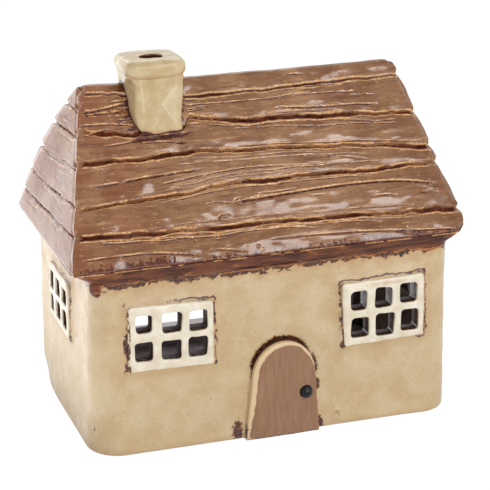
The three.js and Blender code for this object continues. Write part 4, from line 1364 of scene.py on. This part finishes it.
door = outline_prism([door_outline()], door_high[1], door_low[1], "door_panel_clay")
soften(door, 0.4, 8, DOOR)
mesh = door.data
points = points_of(mesh)
x, y, z = points.T
uneven = 0.25 * noise(points, (6, 6, 16), 250) + 0.1 * noise(points, (1.8, 3, 9), 251)
y += ramp(door_high[1] - 1.5, door_high[1] - 2.6, y) * uneven
z[:] = np.maximum(z, 0)
set_points(mesh, points)
rim = door_outline()
left_side = ramp(DOOR_MIDDLE + 6, DOOR_MIDDLE - 6, x)
front_face = ramp(door_high[1] - 1.2 + 0.9 * left_side, door_high[1] - 2.4 + 0.9 * left_side, y)
# The bevel is widest down the left side and narrows over the arch
narrow = 0.3 + 0.35 * ramp(DOOR_MIDDLE - 9, DOOR_MIDDLE + 8, x) + 0.3 * ramp(14, 0, z)
bevel = ramp(0, 0.16, near_outline(points, rim, 3.2) + 0.1 * noise(points, 2.5, 255) - narrow)
bevel *= np.maximum(ramp(1.5, 3.5, z), ramp(DOOR_MIDDLE - 11.8, DOOR_MIDDLE - 12.6, x))
knob_low, knob_high = box_mm("door_knob")
knob_middle = (knob_low + knob_high) / 2
to_knob = np.hypot(x - knob_middle[0], z - knob_middle[2])
ring = 0.5 * bell(to_knob - (knob_high[0] - knob_low[0]) / 2, 0.1, 0.4)
marks = np.maximum(blot(x, z, (4.6, 10.2), (0.35, 1.4)), blot(x, z, (6.6, 8.6), (0.3, 1.2)))
right_line = ramp(0.55, 0.85, near_outline(points, rim, 2.2)) * ramp(DOOR_MIDDLE + 8, DOOR_MIDDLE + 11, x)
sunk = ramp(door_high[1] - 2.2, door_high[1] - 1.2, y) * (1 - left_side * ramp(26, 20, z))
low_left = 0.8 * blot(x, z, (-13.2, 4), (1.6, 5))
set_layers(mesh, lip=np.maximum(bevel * np.maximum(left_side, ramp(22, 30, z)), ring) * front_face,
           warm=np.maximum(0.6 * marks, 0.5 * right_line),
           pool=np.maximum(np.maximum(sunk, low_left), 0.5 * ramp(1.5, 0.3, z)))
place(door, "door_glaze", "door_panel")

place(softened_copy("door_knob", 0.22, 6, KNOB), "knob_glaze", "door_knob")

# Eave plate: a dark band under the boards that has run a little down the walls

CORNER_SIGNS = ((1, 1), (-1, 1), (-1, -1), (1, -1))
SIDE_POINTS = (228, 128, 228, 128)  # from each corner to the next
BRIM_CORNER = 4.5
HOLE_CORNER = 2.0
DROP_AT = (-66.0, -40.0)  # where the thick drop hangs
DROP_LENGTH = 5.4
BEVEL_ROWS = 7  # from the brim down to the wall


def ring(half_x, half_y, radius, z):
    """A rounded rectangle at a level, with as many points whatever its size."""
    arcs = []
    for corner, (sign_x, sign_y) in enumerate(CORNER_SIGNS):
        angle = (corner + np.linspace(0, 1, 14)) * np.pi / 2
        arcs.append(np.stack([sign_x * (half_x - radius) + radius * np.cos(angle),
                              sign_y * (half_y - radius) + radius * np.sin(angle)], 1))
    made = []
    for arc, following, count in zip(arcs, arcs[1:] + arcs[:1], SIDE_POINTS):
        f = (np.arange(1, count) / count)[:, None]
        made += [arc, arc[-1] * (1 - f) + following[0] * f]
    points = np.vstack(made)
    return np.column_stack([points, np.full(len(points), float(z))])


def eave_ring():
    """Sweeps the band round the house."""
    down = np.array([0, 0, -1.0])
    foot = ring(TOP_HALF_X, TOP_HALF_Y, TOP_CORNER, wall_top)
    brim = ring(eave_half_x, eave_half_y, BRIM_CORNER, eave_z)
    hole = ring(TOP_HALF_X - WALL_THICKNESS, TOP_HALF_Y - WALL_THICKNESS, HOLE_CORNER, eave_z)
    away = (brim - foot) * np.array([1, 1, 0])
    away /= np.linalg.norm(away, axis=1)[:, None]
    # The right corners are rounder than the CAD's, and a thick drop hangs from the front-left one
    tuck = 2.6 * np.exp(-(((brim[:, 0] - 75) ** 2 + (np.abs(brim[:, 1]) - 44) ** 2) / 40))
    brim = brim - away * tuck[:, None]
    drop = np.exp(-((((foot[:, 0] - DROP_AT[0]) ** 2 + (foot[:, 1] - DROP_AT[1]) ** 2) / 4.4) ** 2))
    drip = 0.9 + 0.7 * noise(foot, 5, 260) + 0.8 * noise(foot, 2.2, 261) + 0.35 * noise(foot, 1.1, 263)
    drip = np.clip(drip * (1 - drop) + DROP_LENGTH * drop, 0.25, DROP_LENGTH + 0.2)[:, None]
    rows = [hole + down * (eave_z - wall_top), hole]
    for f in np.linspace(0, 1, BEVEL_ROWS):
        bulge = 0.35 * math.sin(math.pi * f) + 1.5 * drop * f**3 + 0.22 * noise(brim, 6, 262 + int(3 * f))
        rows.append(brim * (1 - f) + foot * f + away * bulge[:, None] * (0.2 if f == 0 else 1))
    drip_steps = np.linspace(0.12, 1, 8)
    for f in drip_steps:
        swell = 0.42 * (1 - f**3) - 0.12 * (f == 1) + 1.5 * drop * math.sqrt(max(0, 1 - (1.6 * f - 0.6) ** 2))
        rows.append(foot + away * swell[:, None] + down * (drip * f))
    rows.append(foot - away * 0.25 + down * drip * 0.6)
    rows.append(foot - away * 0.25 + np.array([0, 0, 0.02]))
    grid = np.arange(len(rows) * len(foot)).reshape(len(rows), -1)
    closed = np.hstack([grid, grid[:, :1]])
    along = np.array([0] * (2 + BEVEL_ROWS) + list(ramp(0, 0.75, drip_steps)) + [0.6, 0])
    lip = np.repeat(along, len(foot)) * np.tile(1 - 0.9 * drop, len(rows))
    faces = quads(np.vstack([closed, closed[:1]]))
    return make_piece("eave_plate_clay", np.vstack(rows), faces, EAVE, lip=lip)


place(eave_ring(), "eave_glaze", "eave_plate")

# Chimney

FLUE = (-35.3, -6.7)
FLUE_LINING = (5.6, 4.6)  # half the size of the ellipse in which the clay keeps to the flue's shape
STACK_MIDDLE = (-34.2, -4.0)


def off_flue(x, y, half_x, half_y):
    """Less than 1 inside an ellipse round the flue."""
    return np.hypot((x - FLUE[0]) / half_x, (y - FLUE[1]) / half_y)


stack = softened_copy("chimney_stack", 0.4, 8, CHIMNEY)
mesh = stack.data
points = points_of(mesh)
uneven = 0.45 * noise(points, (5, 5, 9), 270) + 0.12 * noise(points, 2.6, 271)
points = points + vertex_values(mesh, "normal") * uneven[:, None]
x, y, z = points.T
# Its front left edge is pared away, so that more of its left side shows
front_left = np.clip(1 - (x - stack_low[0]) / 6, 0, 1) * np.clip(1 - (y - stack_low[1]) / 12, 0, 1)
x += 1.3 * front_left * ramp(131, 127, z)
y += 0.5 * front_left
x -= 1.9 * ramp(106, 118, z) * ramp(-38, -42, x)
outside = off_flue(x, y, *FLUE_LINING) > 1
x -= STACK_LEAN * ramp(130, 108, z) * ramp(-36, -28, x)
near_cap = ramp(126.8, 130.2, z) ** 2 * outside
points[:, :2] += (points[:, :2] - np.array(STACK_MIDDLE)) * (0.04 * near_cap)[:, None]
z += 0.7 * ramp(128.5, 130, z)
set_points(mesh, points)
roof_here = np.minimum(eave_z + RISE * (eave_half_y - np.abs(y)) / (eave_half_y - RIDGE_HALF), RIDGE_TOP)
above = z - roof_here
# Painted reflection and highlight in pale glaze: a three-cornered patch on the right, and a streak down the
# front left edge
across = x + 34.7 + 0.5 * noise(points, 1.6, 273)
level = z - 120.5
upper_edge, lower_edge = 0.78 * across - 0.62 * level, 0.77 * across + 0.64 * level
painted_reflection_patch = ramp(-0.3, 1.0, np.minimum(upper_edge, lower_edge)) * ramp(-27.2, -28.6, x)
painted_reflection_patch *= 0.55 + 0.45 * ramp(2.2, 0.8, np.minimum(upper_edge, 1.6 * lower_edge))
# A painted highlight down the front left edge
streak = ramp(0.9, 0.2, np.abs(x + 40.4 + 0.05 * (z - 120) + 0.3 * noise(points, 3, 274)))
set_layers(mesh, pool=ramp(0.9, 0.2, above + 0.5 * noise(points, 2.5, 272)),
           warm=np.maximum(0.8 * ramp(1.8, 0.6, above), 0.5 * ramp(129.6, 130.6, z)),
           lip=ramp(-10, -13, y) * np.maximum(painted_reflection_patch, 0.6 * streak * ramp(115, 119, z)))
place(stack, "chimney_glaze", "chimney_stack")

cap = softened_copy("chimney_cap", 0.4, 14, CHIMNEY)
mesh = cap.data
points = points_of(mesh)
uneven = 0.25 * noise(points, 7, 280) + 0.08 * noise(points, 2.5, 281)
points = points + vertex_values(mesh, "normal") * uneven[:, None]
x, y, z = points.T
# A pillow: its sides belly out, and its top drops towards the rim and most towards the back
low, high = points.min(0), points.max(0)
middle, half = (low + high) / 2, (high - low) / 2
part_x, part_y, part_z = ((points - middle) / half).T
outside = off_flue(x, y, *FLUE_LINING) > 1
belly = 1 - (0.06 * np.abs(part_z) ** 4 + 0.05 * ramp(0, -1, part_z) ** 2) * outside
points[:, :2] = middle[:2] + (points[:, :2] - middle[:2]) * belly[:, None]
x += 0.8 * outside * ramp(0.2, 1, part_x)
drop = 0.7 + 0.25 * np.abs(part_x) ** 4 + 0.2 * np.abs(part_y) ** 4 + 0.6 * np.clip(part_y, 0, 1) ** 2
z -= drop * ramp(-0.3, 0.9, part_z)
z -= 0.6 * ramp(-0.3, -0.9, part_z)
set_points(mesh, points)
flue = off_flue(x, y, 4.3, 3.2)
set_layers(mesh, pool=1.3 * ramp(1.2, 1.08, flue) * ramp(136.7, 136.0, z),
           warm=np.maximum(0.5 * ramp(1.25, 1.0, flue), 0.5 * ramp(131.2, 130.0, z)))
place(cap, "chimney_glaze", "chimney_cap")

# Stage, light and camera


def look_at(thing, at, target):
    thing.location = at
    thing.rotation_mode = "QUATERNION"
    thing.rotation_quaternion = (Vector(target) - Vector(at)).to_track_quat("-Z", "Y")


def area_light(name, direction, distance, size, power, target=(0, 0, 0.07), shape="RECTANGLE"):
    """A lamp this far from its target, in metres and watts."""
    lamp = bpy.data.lights.new(name, "AREA")
    lamp.shape = shape
    lamp.size, lamp.size_y = size
    lamp.energy = power
    thing = add_object(name, lamp)
    look_at(thing, Vector(target) + Vector(direction).normalized() * distance, target)
    return thing


def white_to_the_eye(tree, other_strength, seen_strength=1.0):
    """How strong a surface shines to the camera and in reflections, and in the light on the object."""
    path = tree.nodes.new("ShaderNodeLightPath").outputs
    either = path["Is Camera Ray"]
    for name in ("Is Glossy Ray", "Is Transmission Ray"):
        either = add_node(tree, "Math", {0: either, 1: path[name]}, operation="MAXIMUM")
    return add_node(tree, "MapRange", {"Value": either, "To Min": other_strength, "To Max": seen_strength})


world = bpy.data.worlds.new("studio")
bpy.context.scene.world = world
world.use_nodes = True
background = world.node_tree.nodes["Background"]
background.inputs["Color"].default_value = (1, 1, 1, 1)
world.node_tree.links.new(white_to_the_eye(world.node_tree, 0.55), background.inputs["Strength"])

FLOOR_REACH = 4.0
floor_mesh = bpy.data.meshes.new("floor")
floor_corners = [(x * FLOOR_REACH, y * FLOOR_REACH, 0) for x, y in ((-1, -1), (1, -1), (1, 1), (-1, 1))]
floor_mesh.from_pydata(floor_corners, [], [(0, 1, 2, 3)])
floor = add_object("floor", floor_mesh)
floor_paint = empty_material("floor")
tree = floor_paint.node_tree
matt = add_node(tree, "BsdfDiffuse", {"Color": (0.9, 0.9, 0.9, 1)})
glow = add_node(tree, "Emission", {"Strength": 1.1})
blend = add_node(tree, "MixShader", {0: white_to_the_eye(tree, 0.0, 0.85), 1: matt, 2: glow})
add_node(tree, "OutputMaterial", {"Surface": blend})
floor_mesh.materials.append(floor_paint)

area_light("key", direction=(0.34, -0.62, 0.70), distance=0.75, size=(0.17, 0.13), power=0.6,
           shape="ELLIPSE")
area_light("fill", direction=(0.2, -0.93, 0.3), distance=1.0, size=(0.8, 0.6), power=4.2)
# A light table that lies behind the house and to its left, and shines up
table = area_light("table", direction=(0, 0, -1), distance=0.001, size=(1.2, 1.6), power=6.3,
                   target=(-0.685, 0.70, 0.003))
table.rotation_quaternion = (0, 1, 0, 0)
# A soft light beyond the table
area_light("beyond", direction=(-0.52, 0.85, 0.3), distance=1.5, size=(1.6, 1.0), power=7.8)
# A small lamp high up behind the house, whose light falls through the mouth onto the floor
area_light("through_mouth", direction=(0.05, 0.68, 0.73), distance=0.6, size=(0.4, 0.3), power=0.6,
           target=(0, 0.04, 0.02))

camera_data = bpy.data.cameras.new("camera")
camera_data.lens = CAMERA_LENS
camera_data.sensor_width = 36
camera_data.clip_start, camera_data.clip_end = 0.01, 20
camera = add_object("camera", camera_data)
bpy.context.scene.camera = camera
turn, tilt = math.radians(CAMERA_AZIMUTH), math.radians(CAMERA_ELEVATION)
towards = Vector((math.sin(turn) * math.cos(tilt), -math.cos(turn) * math.cos(tilt), math.sin(tilt)))
target = Vector(CAMERA_TARGET) * MM
look_at(camera, target + towards * CAMERA_DISTANCE * MM, target)

bpy.context.scene.view_settings.view_transform = "Standard"
